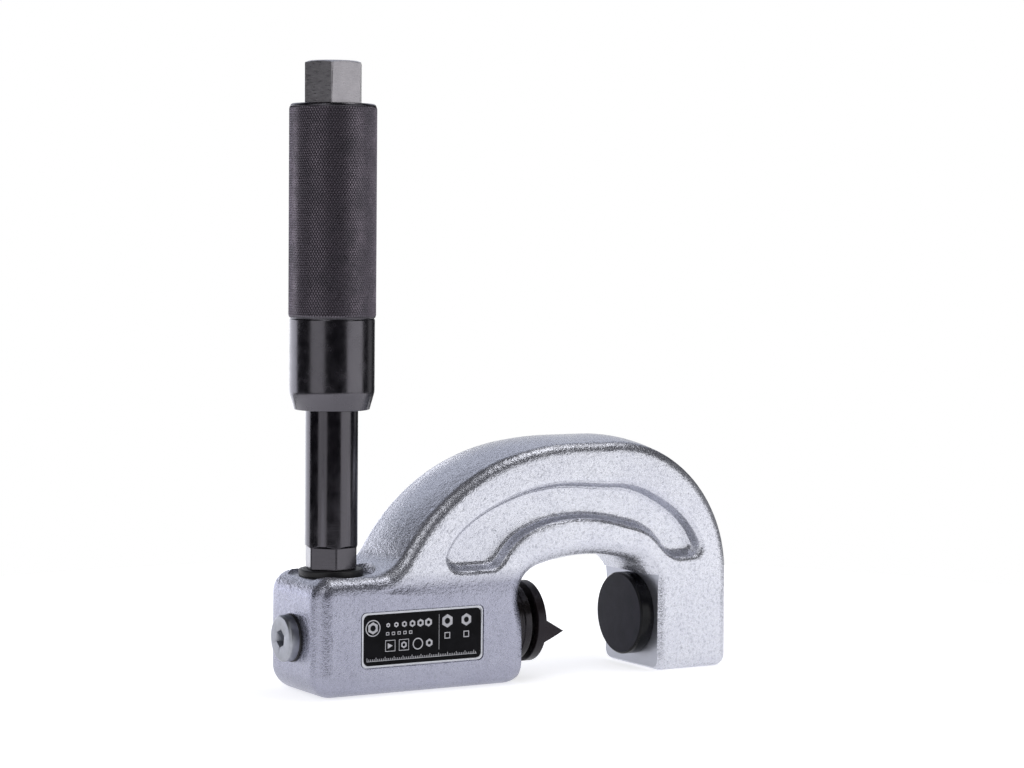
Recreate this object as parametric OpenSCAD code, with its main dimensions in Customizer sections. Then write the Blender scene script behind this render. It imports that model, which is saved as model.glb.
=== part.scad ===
// Hydraulic nut splitter: a cast C-frame with a screw-driven hand pump standing on its cylinder block.
// X runs along the ram from the plug to the jaw, Z is up, and the handle axis is x = 0, y = 0.
// The feet of the block and of the jaw stand on z = 0. All sizes are millimetres.

/* [Casting] */
// Distance from the handle axis to the left end face
block_left = 21.4; // [20:0.2:30]
// Distance from the handle axis to the right face of the block
block_right = 94.2; // [90:0.2:105]
// Height of the block's flat top
block_height = 59.5; // [58:0.5:66]
// Thickness of the block across its two faces
body_thick = 55; // [54:0.5:62]
// How far the arc's faces stand back from the block's faces
arc_step = 1.2; // [0.4:0.1:2]
// Height of the ram axis above the feet
ram_height = 28.2; // [27:0.2:30]
// Rounding of the long bottom edges
bottom_round = 11; // [6:0.5:11.5]
// Rounding of the block's top edges
top_round = 9; // [5:0.5:10]
// Rounding round the left end face
end_round = 8.5; // [5:0.5:10]
// Height of the crown of the arc
arc_height = 121; // [116:0.5:130]
// Thickness of the jaw behind its machined face
jaw_thick = 43.8; // [38:0.2:50]
// Outer radius of the arc over the jaw
crown_radius = 72; // [60:1:74]
// Slope of the arc where it leaves the block
foot_slope = 59; // [50:1:62]
// Radius of the hollow between the block's top and the arc
foot_fillet = 19; // [12:1:20]
// Rounding of the arc's outer edges
arc_round = 5; // [3:0.5:7]
// How far right of the spot face the slope of the arc begins
foot_clear = 6.7; // [5:0.1:10]
// How straight the arc leaves its foot
foot_reach = 25; // [15:1:35]
// How flat the arc runs into its crown
crown_reach = 57; // [45:1:65]
// Length of the level stretch on top of the arc
crown_flat = 21; // [12:0.5:26]
// How far the arc's outer rim stands proud along its middle, as the mould's draft leaves it
rim_draft = 2; // [0:0.5:3]

/* [Throat] */
// Width of the throat, from the block's right face to the jaw's machined face
throat_width = 83.3; // [80:0.1:92]
// Depth of the machined face below the cast wall
seat_depth = 1.8; // [1:0.1:3]
// Height of the step over the machined face
seat_height = 50.7; // [50:0.1:54]
// Height of the throat's ceiling
throat_height = 63; // [61:0.5:66]
// Radius of the throat's ceiling
throat_radius = 100; // [90:1:120]
// Radius of the throat's two corners
throat_corner = 17; // [12:0.5:20]
// Rounding of the throat's edges
throat_round = 8; // [4:0.5:9]

/* [Side pockets] */
// Depth of the pocket in each face of the arc
pocket_depth = 7.5; // [4:0.5:10]
// Width of the pocket's sloping wall
pocket_wall = 6; // [5:0.5:9]
// Height of the pocket's two lower ends
pocket_low = 57; // [56:0.5:62]
// Radius of the pocket's lower corners
pocket_corner = 9; // [6:0.5:12]
// Solid rim between pocket and outer edge, at the foot
rim_foot = 29; // [24:0.5:32]
// Solid rim between pocket and outer edge, at the shoulder
rim_shoulder = 18; // [14:0.5:22]
// Solid rim between pocket and outer edge, at the crown
rim_crown = 20; // [16:0.5:22]
// Solid rim between pocket and outer edge, at the jaw
rim_jaw = 13; // [10:0.5:15]
// Solid rim between pocket and throat, at the foot
lip_foot = 12; // [10:0.5:15]
// Solid rim between pocket and throat, at the shoulder
lip_shoulder = 24.5; // [20:0.5:26]
// Solid rim between pocket and throat, at the crown
lip_crown = 14.5; // [12:0.5:18]
// Solid rim between pocket and throat, at the jaw
lip_jaw = 9.5; // [8:0.5:12]

/* [Pump] */
// Diameter of the tube that guides the handle
tube_d = 26; // [24:0.5:28]
// Diameter of the plunger
plunger_d = 18; // [16:0.5:19]
// Travel of the plunger
plunger_stroke = 60; // [40:1:62]
// Lower edge of the tube above its wrench flats
tube_low = 73.1; // [71:0.1:80]
// Width across the tube's wrench flats
tube_flats = 23; // [22.5:0.1:24]
// Outer diameter of the seal ring under the tube
tube_washer_d = 32; // [30:0.5:36]
// Thickness of that seal ring
tube_washer_h = 3.6; // [2:0.2:5]
// Diameter of the spot face in the block's top
spot_face_d = 44; // [40:1:48]
// Depth of the spot face
spot_face_depth = 1.9; // [0.5:0.1:3]
// Thread diameter of the tube in the block
tube_thread_d = 22; // [20.5:0.5:24]
// Length of thread in the block
tube_thread_l = 15; // [10:1:16]

/* [Handle] */
// Lower end of the collar
collar_low = 139.7; // [136:0.1:150]
// Where the collar's taper starts
collar_taper = 148.5; // [145:0.1:160]
// Lower end of the knurled grip
knurl_low = 184.5; // [175:0.5:200]
// Top of the grip
grip_top = 289.2; // [270:0.5:310]
// Diameter of the knurled grip
knurl_d = 43; // [41:0.5:48]
// Diameter of the collar
collar_d = 42; // [40:0.5:46]
// Diameter of the collar's lower rim
collar_rim_d = 37; // [35:0.5:39]
// Width across the flats of the drive hex
hex_flats = 27; // [24:0.5:30]
// Height of the drive hex
hex_h = 20.8; // [15:0.5:25]
// Diameter of the pump screw's thread
screw_d = 16; // [14:0.5:17]
// Length of thread in the tube's upper end
screw_nut_l = 35; // [20:1:40]

/* [Ram] */
// Diameter of the cylinder bore
bore_d = 38; // [36:0.5:40]
// Left end of the cylinder bore, from the handle axis
bore_start = 24; // [22:0.5:30]
// Length of the piston
piston_l = 18; // [14:0.5:20]
// Diameter of the piston rod
rod_d = 24; // [22:0.5:25]
// Depth of the gland nut in the bore
gland_depth = 14; // [12:0.5:18]
// How far the gland nut stands out of the block
gland_out = 11; // [8:0.5:14]
// Diameter of the gland nut's flange
gland_d = 40; // [39:0.5:43]
// Diameter of the chisel's flange
chisel_d = 41.5; // [40:0.5:44]
// Thickness of the chisel's flange
chisel_flange = 4.8; // [4:0.2:7]
// Gap between gland nut and chisel flange
chisel_gap = 2.5; // [2:0.1:4]
// Height of the chisel's edge above its flange
edge_h = 10; // [8:0.5:12]
// Included angle of the chisel's edge
edge_angle = 60; // [50:1:70]
// Roll of the chisel's edge about the ram
chisel_roll = 10; // [0:1:90]

/* [Anvil and plate] */
// Diameter of the anvil pad
pad_d = 43; // [40:0.5:46]
// Thickness of the anvil pad
pad_h = 8.1; // [6:0.1:10]
// Length of the nameplate
plate_l = 68; // [60:1:70]
// Height of the nameplate
plate_h = 27; // [22:1:28]
// Left end of the nameplate, from the handle axis
plate_left = 3; // [1:0.5:10]
// Height of the nameplate's lower edge
plate_low = 14.8; // [14:0.2:17]
// Thickness of the nameplate
plate_t = 1; // [0.8:0.1:1.5]
// Diameter of the port plug's head
plug_d = 23; // [21:0.5:26]
// Height of the port plug's head
plug_h = 5; // [4:0.5:7]

/* [Hidden] */
$fn = 72;

running_fit = 0.04;    // radial clearance of pieces that slide or turn in each other
thread_fit = 0.05;     // clearance of pieces that are screwed or pinned together
loose_fit = 0.25;      // clearance of pieces that only have to pass

// Derived places of the casting
half = body_thick / 2;
jaw_seat = block_right + throat_width;             // machined inner face of the jaw
jaw_wall = jaw_seat - seat_depth;
jaw_right = jaw_seat + jaw_thick;
throat_mid = (block_right + jaw_wall) / 2;
throat_sweep_z = throat_height - throat_radius;
corner_dx = (jaw_wall - block_right) / 2 - throat_corner;
corner_z = throat_sweep_z + sqrt(pow(throat_radius - throat_corner, 2) - corner_dx * corner_dx);
corner_angle = acos(corner_dx / (throat_radius - throat_corner));
crown_x = jaw_right - crown_radius;
crown_z = arc_height - crown_radius;
foot_x = spot_face_d / 2 + foot_clear;             // where the hollow of the foot meets the slope
foot_start = foot_x - foot_fillet * sin(foot_slope);
foot_z = block_height + foot_fillet * (1 - cos(foot_slope));
arc_flat_x = crown_x - crown_flat;
heel_corner = 12;                                  // outline radius of the block's lower left corner
top_corner = 10.5;                                 // outline radius of the block's upper left corner
cast_extra = 6;                                    // what is cut off the block's right face
cast_right = block_right + cast_extra;
jaw_round = 6;                                     // rounding of the jaw's lower corners

// Derived places and small sizes of the pump
spot_z = block_height - spot_face_depth;
tube_seat = spot_z + tube_washer_h;
thread_end = spot_z - tube_thread_l;
pump_chamber_d = plunger_d + 2;
passage_d = 8;                     // oil way from the port to the pump and the cylinder
tube_flats_turn = 14.3;            // the flats' rest angle
head_h = 12;                       // part of the drive screw that is pressed into the grip
head_d = 36;
stroke_spare = 2;                  // room left at the end of the plunger's stroke
tube_top = grip_top - head_h - plunger_stroke - stroke_spare;
screw_nut_low = tube_top - screw_nut_l;
plunger_low = ram_height + passage_d / 2 + plunger_stroke;
seal_above = 5;                    // lowest place of the plunger's seal above the tube's lower end
plunger_seal_z = thread_end + seal_above + plunger_stroke;
plunger_seal_h = 3.4;
backup_h = 1.6;
plunger_groove_d = plunger_d - 5;
plunger_guide_l = 28;              // length of the plunger from its seal to its top
plunger_top = plunger_seal_z + plunger_guide_l;
ball_d = 10;
ball_z = plunger_top + ball_d / 4;
screw_low = plunger_top + ball_d / 2;
hex_corner = hex_flats / sqrt(3);
hex_crown = 1.2;
crown_angle = 18.4;
collar_lip = 3;
sleeve_bore_d = tube_d + 4;
grip_wiper_h = 3;
grip_bush_h = 16;
grip_chamfer = 0.8;
pin_d = 4;
pin_l = 9;

// Derived places and small sizes of the ram
port_d = 16.6;
port_depth = 10;
plug_seal_t = 1.2;
plug_hex = 8;
piston_start = bore_start + 1;
piston_end = piston_start + piston_l;
seal_clearance = 0.02;
seal_at = 3.5;
seal_w = 4;
seal_groove_d = bore_d - 7;
guide_at = 10;
guide_w = 5;
guide_groove_d = bore_d - 4;
gland_l = gland_depth + gland_out;
gland_start = block_right - gland_depth;
gland_face = block_right + gland_out;
bush_d = rod_d + 4;
wiper_d = rod_d + 7;
wiper_h = 4;
wiper_sunk = 0.4;
ring_groove_w = 2.6;
gland_groove = 5;
gland_groove_d = bore_d - 4.8;
chisel_back = gland_face + chisel_gap;
rod_end = chisel_back - 0.05;
edge_half = edge_h * tan(edge_angle / 2);
shank_d = 14;
shank_l = 20;
clip_w = 1.5;
clip_d = shank_d + 1.4;
clip_inner_d = shank_d - 2;
ring_x = chisel_back - 12;
spring_wire = 3.2;
spring_r = (bore_d + rod_d) / 4;
spring_turns = 6;
spring_steps = 16;
spring_sides = 8;
pad_face = jaw_seat - pad_h;
pad_chamfer = 0.8;
pad_stem_d = 14;
pad_stem_l = 12;
pad_groove_at = 6;
pad_groove_d = pad_stem_d - 4.4;
plate_corner = 2.5;
plate_sunk = 0.2;
plate_etch = 0.2;
plate_border = 1.3;
plate_gap = 0.5;

function smooth(t) = let (c = max(0, min(1, t))) c * c * (3 - 2 * c);
function mix(a, b, t) = a + (b - a) * t;
function ramp(a, b, t) = mix(a, b, smooth(t));
function arc(c, r, a, b, n, first = 0) =
  [for (k = [first : n]) c + r * [cos(mix(a, b, k / n)), sin(mix(a, b, k / n))]];
function line(p, q, n) = [for (k = [1 : n]) mix(p, q, k / (n + 1))];
function bezier(p, q, r, s, t) =
  pow(1 - t, 3) * p + 3 * pow(1 - t, 2) * t * q + 3 * (1 - t) * t * t * r + pow(t, 3) * s;
function unit(v) = v / norm(v);

// The casting's outline in the XZ plane is two chains of points that start together in the middle of
// the left end face and end together in the middle of the jaw's foot. One runs under the block and
// through the throat, the other over the block and the arc. Equal numbers pair off across the casting.
corner_n = 8;
main_n = 20;
jaw_corner_n = 12;
bezier_n = 14;
flat_n = 2;
crown_n = main_n + jaw_corner_n - bezier_n - flat_n;
end_middle = [-block_left, block_height / 2];
foot_middle = [(jaw_wall + jaw_right) / 2, 0];

under_chain = concat(
  [end_middle],
  arc([heel_corner - block_left, heel_corner], heel_corner, 180, 270, 6),
  line([heel_corner - block_left, 0], [cast_right - heel_corner, 0], 3),
  arc([cast_right - heel_corner, heel_corner], heel_corner, -90, 0, 3),
  [for (k = [1 : 5])
    [ramp(cast_right, block_right, (k - 1) / 5), mix(heel_corner, corner_z, sqrt(k / 6))]],
  arc([block_right + throat_corner, corner_z], throat_corner, 180, 180 - corner_angle, corner_n),
  arc([throat_mid, throat_sweep_z], throat_radius, 180 - corner_angle, corner_angle, main_n, 1),
  arc([jaw_wall - throat_corner, corner_z], throat_corner, corner_angle, 0, jaw_corner_n, 1),
  line([jaw_wall, corner_z], [jaw_wall, jaw_round], 2),
  arc([jaw_wall + jaw_round, jaw_round], jaw_round, 180, 270, 3),
  [foot_middle]
);

over_chain = concat(
  [end_middle],
  arc([top_corner - block_left, block_height - top_corner], top_corner, 180, 90, 6),
  line([top_corner - block_left, block_height], [foot_start, block_height], 12),
  arc([foot_start, block_height + foot_fillet], foot_fillet, 270, 270 + foot_slope, corner_n),
  [for (k = [1 : bezier_n])
    bezier(
      [foot_x, foot_z],
      [foot_x, foot_z] + foot_reach * [cos(foot_slope), sin(foot_slope)],
      [arc_flat_x - crown_reach, arc_height],
      [arc_flat_x, arc_height],
      k / bezier_n
    )],
  line([arc_flat_x, arc_height], [crown_x, arc_height], flat_n - 1),
  arc([crown_x, crown_z], crown_radius, 90, 0, crown_n),
  line([jaw_right, crown_z], [jaw_right, jaw_round], 2),
  arc([jaw_right - jaw_round, jaw_round], jaw_round, 0, -90, 3),
  [foot_middle]
);

stations = len(under_chain) - 1;
foot_at = 20;                              // station where the throat and the foot's hollow start
arc_at = foot_at + corner_n;               // station where the arc proper starts
jaw_at = arc_at + main_n + jaw_corner_n;   // station where the jaw's straight part starts

// Edge rounding along each chain, and the half thickness of the casting at each station
function under_round(i) =
  i <= 7 ? ramp(end_round, bottom_round, (i - 1) / 6)
  : i <= foot_at - 6 ? bottom_round
  : i <= foot_at ? ramp(bottom_round, throat_round, (i - foot_at + 6) / 6)
  : ramp(throat_round, jaw_round, (i - arc_at - main_n) / jaw_corner_n);
function over_round(i) =
  i <= 7 ? ramp(end_round, top_round, (i - 1) / 6)
  : i <= foot_at ? top_round
  : i <= arc_at ? ramp(top_round, arc_round, (i - foot_at) / corner_n)
  : ramp(arc_round, jaw_round, (i - jaw_at) / 3);
function half_at(i) = half - arc_step * smooth((i - foot_at) / (corner_n / 2));

// One closed loop round the outline: under the casting first, then back over it
loop_n = 2 * stations;
outline = concat(under_chain, [for (i = [stations - 1 : -1 : 1]) over_chain[i]]);
function station_of(j) = j <= stations ? j : loop_n - j;
function round_of(j) = j <= stations ? under_round(j) : over_round(loop_n - j);
function inward(j) =
  let (t = unit(outline[(j + 1) % loop_n] - outline[(j + loop_n - 1) % loop_n])) [-t[1], t[0]];
function ring_point(j, k) =
  let (
    r = round_of(j),
    a = 90 * k / round_n,
    p = outline[j] + inward(j) * r * (1 - sin(a))
  )
  [p[0], -half_at(station_of(j)) + r * (1 - cos(a)), p[1]];
round_n = 5;

// The outer rim of the arc rises from both faces to its middle, over some stations at either end
draft_in = 12;
draft_out = 4;
function proud(i) =
  rim_draft * smooth((i - foot_at - 2) / draft_in) * (1 - smooth((i - jaw_at) / draft_out));
function middle_point(j) =
  let (p = outline[j] - inward(j) * (j <= stations ? 0 : proud(loop_n - j)))
  [p[0], 0, p[1]];

// The pocket is a grid of rows on the stations and columns across the wall, floor and wall
pocket_from = foot_at + 2;
pocket_to = jaw_at - 1;
wall_n = 5;
pocket_cols = 2 * wall_n + 2;
pocket_rows = pocket_to - pocket_from + 1;
function rim_at(t) =
  t < 0.25 ? ramp(rim_foot, rim_shoulder, t / 0.25)
  : t < 0.7 ? ramp(rim_shoulder, rim_crown, (t - 0.25) / 0.15)
  : ramp(rim_crown, rim_jaw, (t - 0.7) / 0.3);
function lip_at(t) =
  t < 0.3 ? ramp(lip_foot, lip_shoulder, t / 0.3)
  : t < 0.65 ? ramp(lip_shoulder, lip_crown, (t - 0.3) / 0.35)
  : ramp(lip_crown, lip_jaw, (t - 0.65) / 0.3);
function pocket_fall(a, b) =
  let (
    r = pocket_corner,
    d = a < r && b < r ? r - norm([r - a, r - b]) : min(a, b)
  )
  pocket_depth * smooth(d / pocket_wall);
function pocket_point(row, col) =
  let (
    i = pocket_from + row,
    t = row / (pocket_rows - 1),
    low = under_chain[i],
    high = over_chain[i],
    e = unit(high - low),
    start = lip_at(t),
    stop = norm(high - low) - rim_at(t),
    u = col <= wall_n ? start + pocket_wall * col / wall_n
      : stop - pocket_wall * (pocket_cols - 1 - col) / wall_n,
    p = low + e * u
  )
  [p[0], -half_at(i) + pocket_fall(min(u - start, stop - u), p[1] - pocket_low), p[1]];

module casting() {
  front_rings = [for (k = [0 : round_n], j = [0 : loop_n - 1]) ring_point(j, k)];
  front_pocket = [for (row = [0 : pocket_rows - 1], col = [0 : pocket_cols - 1]) pocket_point(row, col)];
  front = concat(front_rings, front_pocket);
  back = [for (p = front) [p[0], -p[1], p[2]]];
  side = len(front);
  pocket_at = len(front_rings);
  function low(i) = i;
  function high(i) = i == 0 ? 0 : (i == stations ? stations : loop_n - i);
  function cell(row, col) = pocket_at + row * pocket_cols + col;
  function row_cells(row) = [for (col = [0 : pocket_cols - 1]) cell(row, col)];
  bands = [
    for (k = [0 : round_n - 1], j = [0 : loop_n - 1])
      let (n = (j + 1) % loop_n)
      [k * loop_n + j, k * loop_n + n, (k + 1) * loop_n + n, (k + 1) * loop_n + j]
  ];
  plain = [
    for (i = [0 : stations - 1])
      if (i < pocket_from - 1 || i > pocket_to)
        i == 0 ? [low(0), high(1), low(1)]
        : i == stations - 1 ? [low(i), high(i), low(stations)]
        : [low(i), high(i), high(i + 1), low(i + 1)]
  ];
  joins = [
    concat([low(pocket_from - 1), high(pocket_from - 1), high(pocket_from)],
      [for (col = [pocket_cols - 1 : -1 : 0]) cell(0, col)], [low(pocket_from)]),
    concat([high(pocket_to + 1), low(pocket_to + 1), low(pocket_to)],
      row_cells(pocket_rows - 1), [high(pocket_to)])
  ];
  lips = [
    for (row = [0 : pocket_rows - 2])
      let (i = pocket_from + row)
      [low(i), cell(row, 0), cell(row + 1, 0), low(i + 1)]
  ];
  rims = [
    for (row = [0 : pocket_rows - 2])
      let (i = pocket_from + row, last = pocket_cols - 1)
      [cell(row, last), high(i), high(i + 1), cell(row + 1, last)]
  ];
  hollow = [
    for (row = [0 : pocket_rows - 2], col = [0 : pocket_cols - 2])
      [cell(row, col), cell(row, col + 1), cell(row + 1, col + 1), cell(row + 1, col)]
  ];
  face = concat(bands, plain, joins, lips, rims, hollow);
  last_ring = round_n * loop_n;
  middle = [for (j = [0 : loop_n - 1]) middle_point(j)];
  middle_at = 2 * side;
  wall = [
    for (j = [0 : loop_n - 1], from_front = [true, false])
      let (
        n = (j + 1) % loop_n,
        a = from_front ? last_ring : middle_at,
        b = from_front ? middle_at : side + last_ring
      )
      [a + j, a + n, b + n, b + j]
  ];
  polyhedron(
    points = concat(front, back, middle),
    faces = concat(face, [for (f = face) [for (k = [len(f) - 1 : -1 : 0]) side + f[k]]], wall),
    convexity = 10
  );
}

module along_ram(x) { translate([x, 0, ram_height]) rotate([0, 90, 0]) children(); }

module on_front(y) { translate([0, y, 0]) rotate([90, 0, 0]) children(); }

module washer(outer, inner, h) {
  difference() {
    cylinder(r = outer, h = h);
    translate([0, 0, -1]) cylinder(r = inner, h = h + 2);
  }
}

module round_ring(r, wire) { rotate_extrude() translate([r, 0]) circle(wire); }

module hexagon(flats, h) { cylinder(r = flats / sqrt(3), h = h, $fn = 6); }

module plate_outline(grow) {
  w = plate_l + 2 * grow;
  h = plate_h + 2 * grow;
  r = plate_corner + grow;
  translate([plate_left - grow, plate_low - grow]) {
    translate([r, 0]) square([w - 2 * r, h]);
    translate([0, r]) square([w, h - 2 * r]);
    for (x = [r, w - r], y = [r, h - r]) translate([x, y]) circle(r);
  }
}

module frame() {
  color("gainsboro")
    difference() {
      casting();
      along_ram(-block_left - 1) cylinder(r = port_d / 2, h = port_depth + 1);
      along_ram(port_depth - block_left - 1) cylinder(r = passage_d / 2, h = bore_start + block_left);
      along_ram(bore_start) cylinder(r = bore_d / 2, h = block_right - bore_start + 1);
      along_ram(block_right) cylinder(r = gland_d / 2 + loose_fit, h = gland_out + 1);
      translate([0, 0, ram_height - passage_d / 2])
        cylinder(r = pump_chamber_d / 2, h = block_height);
      translate([0, 0, thread_end]) cylinder(r = tube_thread_d / 2, h = block_height);
      translate([0, 0, spot_z]) cylinder(r = spot_face_d / 2, h = 20);
      translate([block_right, -half - 1, -1]) cube([cast_extra + 1, body_thick + 2, corner_z + 1]);
      translate([jaw_wall - 1, -half - 1, -1]) cube([seat_depth + 1, body_thick + 2, seat_height + 1]);
      along_ram(jaw_seat - 1) cylinder(r = pad_stem_d / 2, h = pad_stem_l + 1.5);
      on_front(-half + plate_sunk + plate_t) linear_extrude(5) plate_outline(plate_gap);
    }
}

module name_plate() {
  color("black")
    difference() {
      on_front(-half + plate_sunk + plate_t) linear_extrude(plate_t) plate_outline(0);
      on_front(-half + plate_sunk + plate_etch) linear_extrude(1) plate_outline(-plate_border);
    }
}

module port_plug() {
  color("silver")
    along_ram(-block_left - plug_seal_t)
      difference() {
        union() {
          cylinder(r = port_d / 2 - thread_fit, h = plug_seal_t + port_depth - 1);
          translate([0, 0, -plug_h]) cylinder(r = plug_d / 2, h = plug_h);
        }
        translate([0, 0, -plug_h - 1]) hexagon(plug_hex, plug_h);
      }
}

module port_plug_seal() {
  color("black") along_ram(-block_left - plug_seal_t) washer(plug_d / 2 + 0.4, port_d / 2, plug_seal_t);
}

module pump_tube() {
  color("dimgray")
    difference() {
      union() {
        translate([0, 0, tube_low]) cylinder(r = tube_d / 2, h = tube_top - tube_low);
        intersection() {
          translate([0, 0, tube_seat]) cylinder(r = tube_d / 2, h = tube_low - tube_seat);
          translate([0, 0, tube_seat]) rotate(tube_flats_turn) hexagon(tube_flats, tube_low - tube_seat);
        }
        translate([0, 0, thread_end + 1])
          cylinder(r = tube_thread_d / 2 - thread_fit, h = tube_seat - thread_end);
      }
      translate([0, 0, thread_end]) cylinder(r = plunger_d / 2 + running_fit, h = screw_nut_low - thread_end);
      translate([0, 0, thread_end]) cylinder(r = screw_d / 2 + running_fit, h = tube_top - thread_end + 1);
    }
}

module tube_washer() {
  color("black") translate([0, 0, spot_z]) washer(tube_washer_d / 2, tube_thread_d / 2, tube_washer_h);
}

module gland_nut() {
  color("dimgray")
    along_ram(gland_start)
      difference() {
        union() {
          cylinder(r = bore_d / 2 - thread_fit, h = gland_depth + gland_out);
          translate([0, 0, gland_depth]) cylinder(r = gland_d / 2, h = gland_out);
        }
        translate([0, 0, -1]) cylinder(r = bush_d / 2, h = gland_depth + gland_out + 2);
        translate([0, 0, gland_l - wiper_h]) cylinder(r = wiper_d / 2, h = wiper_h + 1);
        translate([0, 0, gland_groove]) washer(bore_d / 2 + 1, gland_groove_d / 2, ring_groove_w);
      }
}

module gland_seal() {
  color("black")
    along_ram(gland_start + gland_groove + ring_groove_w / 2)
      round_ring((bore_d + gland_groove_d) / 4, (bore_d - gland_groove_d) / 4);
}

module gland_bush() {
  color("peru") along_ram(gland_start) washer(bush_d / 2, rod_d / 2 + running_fit, gland_l - wiper_h);
}

module gland_wiper() {
  color("black") along_ram(gland_face - wiper_h)
      washer(wiper_d / 2 - seal_clearance, rod_d / 2 + running_fit, wiper_h - wiper_sunk);
}

module anvil_pad() {
  color("dimgray")
    along_ram(pad_face)
      difference() {
        union() {
          cylinder(r1 = pad_d / 2 - pad_chamfer, r2 = pad_d / 2, h = pad_chamfer);
          translate([0, 0, pad_chamfer]) cylinder(r = pad_d / 2, h = pad_h - pad_chamfer);
          cylinder(r = pad_stem_d / 2 - thread_fit, h = pad_h + pad_stem_l);
        }
        translate([0, 0, pad_h + pad_groove_at])
          washer(pad_stem_d / 2 + 1, pad_groove_d / 2, ring_groove_w);
      }
}

module anvil_ring() {
  color("black")
    along_ram(jaw_seat + pad_groove_at + ring_groove_w / 2)
      round_ring((pad_stem_d + pad_groove_d) / 4, (pad_stem_d - pad_groove_d) / 4);
}

// The coil is one closed skin: a small polygon carried round a helix, with a flat cap at each end
module return_spring() {
  length = gland_start - piston_end;
  rise = length - spring_wire;
  rings = spring_turns * spring_steps;
  function wire_point(i, k) =
    let (
      turn = 360 * i / spring_steps,
      a = 360 * k / spring_sides,
      wire_r = spring_wire / 2,
      r = spring_r + wire_r * cos(a)
    )
    [r * cos(turn), r * sin(turn), wire_r + rise * i / rings + wire_r * sin(a)];
  points = [for (i = [0 : rings], k = [0 : spring_sides - 1]) wire_point(i, k)];
  skin = [
    for (i = [0 : rings - 1], k = [0 : spring_sides - 1])
      let (a = i * spring_sides + k, b = i * spring_sides + (k + 1) % spring_sides)
      [a, a + spring_sides, b + spring_sides, b]
  ];
  caps = [
    [for (k = [0 : spring_sides - 1]) k],
    [for (k = [spring_sides - 1 : -1 : 0]) rings * spring_sides + k]
  ];
  color("silver") along_ram(piston_end) polyhedron(points, concat(skin, caps), convexity = 10);
}

module piston() {
  color("silver")
    along_ram(piston_start)
      difference() {
        union() {
          cylinder(r = bore_d / 2 - running_fit, h = piston_l);
          translate([0, 0, piston_l]) cylinder(r = rod_d / 2, h = rod_end - piston_end);
        }
        translate([0, 0, seal_at]) washer(bore_d / 2 + 1, seal_groove_d / 2, seal_w);
        translate([0, 0, guide_at]) washer(bore_d / 2 + 1, guide_groove_d / 2, guide_w);
        translate([0, 0, rod_end - piston_start - shank_l - 1])
          cylinder(r = shank_d / 2 + running_fit, h = shank_l + 2);
        translate([0, 0, ring_x - piston_start - 0.3]) cylinder(r = clip_d / 2 + loose_fit, h = clip_w + 0.6);
      }
}

module piston_seal() {
  color("black")
    along_ram(piston_start + seal_at) washer(bore_d / 2 - seal_clearance, seal_groove_d / 2, seal_w);
}

module piston_guide() {
  color("saddlebrown")
    along_ram(piston_start + guide_at) washer(bore_d / 2 - seal_clearance, guide_groove_d / 2, guide_w);
}

// A turned bar: its end is milled from both sides to leave a straight edge across the full width
module chisel() {
  reach = chisel_d / 2 + 1;
  tip = chisel_flange + edge_h;
  color("dimgray")
    along_ram(chisel_back)
      difference() {
        union() {
          cylinder(r = chisel_d / 2, h = tip + 1);
          translate([0, 0, -shank_l]) cylinder(r = shank_d / 2, h = shank_l + 1);
        }
        rotate([0, 0, chisel_roll])
          translate([0, reach, 0])
          rotate([90, 0, 0])
          linear_extrude(2 * reach)
          polygon([
            [-reach, chisel_flange],
            [-edge_half, chisel_flange],
            [0, tip],
            [edge_half, chisel_flange],
            [reach, chisel_flange],
            [reach, tip + 2],
            [-reach, tip + 2]
          ]);
        translate([0, 0, ring_x - chisel_back]) washer(shank_d / 2 + 1, clip_inner_d / 2, clip_w);
      }
}

module chisel_ring() {
  color("silver") along_ram(ring_x) washer(clip_d / 2, clip_inner_d / 2, clip_w);
}

module plunger() {
  color("silver")
    difference() {
      translate([0, 0, plunger_low]) cylinder(r = plunger_d / 2, h = plunger_top - plunger_low);
      translate([0, 0, plunger_seal_z])
        washer(plunger_d / 2 + 1, plunger_groove_d / 2, plunger_seal_h + backup_h);
      translate([0, 0, ball_z]) sphere(ball_d / 2);
    }
}

module plunger_seal() {
  color("black")
    translate([0, 0, plunger_seal_z])
      washer(plunger_d / 2 + seal_clearance, plunger_groove_d / 2, plunger_seal_h);
}

module plunger_backup() {
  color("white")
    translate([0, 0, plunger_seal_z + plunger_seal_h])
      washer(plunger_d / 2 + seal_clearance, plunger_groove_d / 2, backup_h);
}

module thrust_ball() {
  color("silver") translate([0, 0, ball_z]) sphere(ball_d / 2);
}

module pin_hole() { translate([0, head_d / 2, grip_top - pin_l]) cylinder(r = pin_d / 2, h = pin_l + 1); }

module drive_screw() {
  color("gray")
    difference() {
      union() {
        translate([0, 0, screw_low]) cylinder(r = screw_d / 2, h = grip_top - screw_low);
        translate([0, 0, grip_top - head_h]) cylinder(r = head_d / 2 - thread_fit, h = head_h);
        intersection() {
          translate([0, 0, grip_top]) hexagon(hex_flats, hex_h);
          union() {
            translate([0, 0, grip_top]) cylinder(r = hex_corner, h = hex_h - hex_crown);
            translate([0, 0, grip_top + hex_h - hex_crown])
              cylinder(r1 = hex_corner, r2 = hex_corner - hex_crown / tan(crown_angle), h = hex_crown);
          }
        }
      }
      translate([0, 0, ball_z]) sphere(ball_d / 2 + running_fit);
      pin_hole();
    }
}

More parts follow.
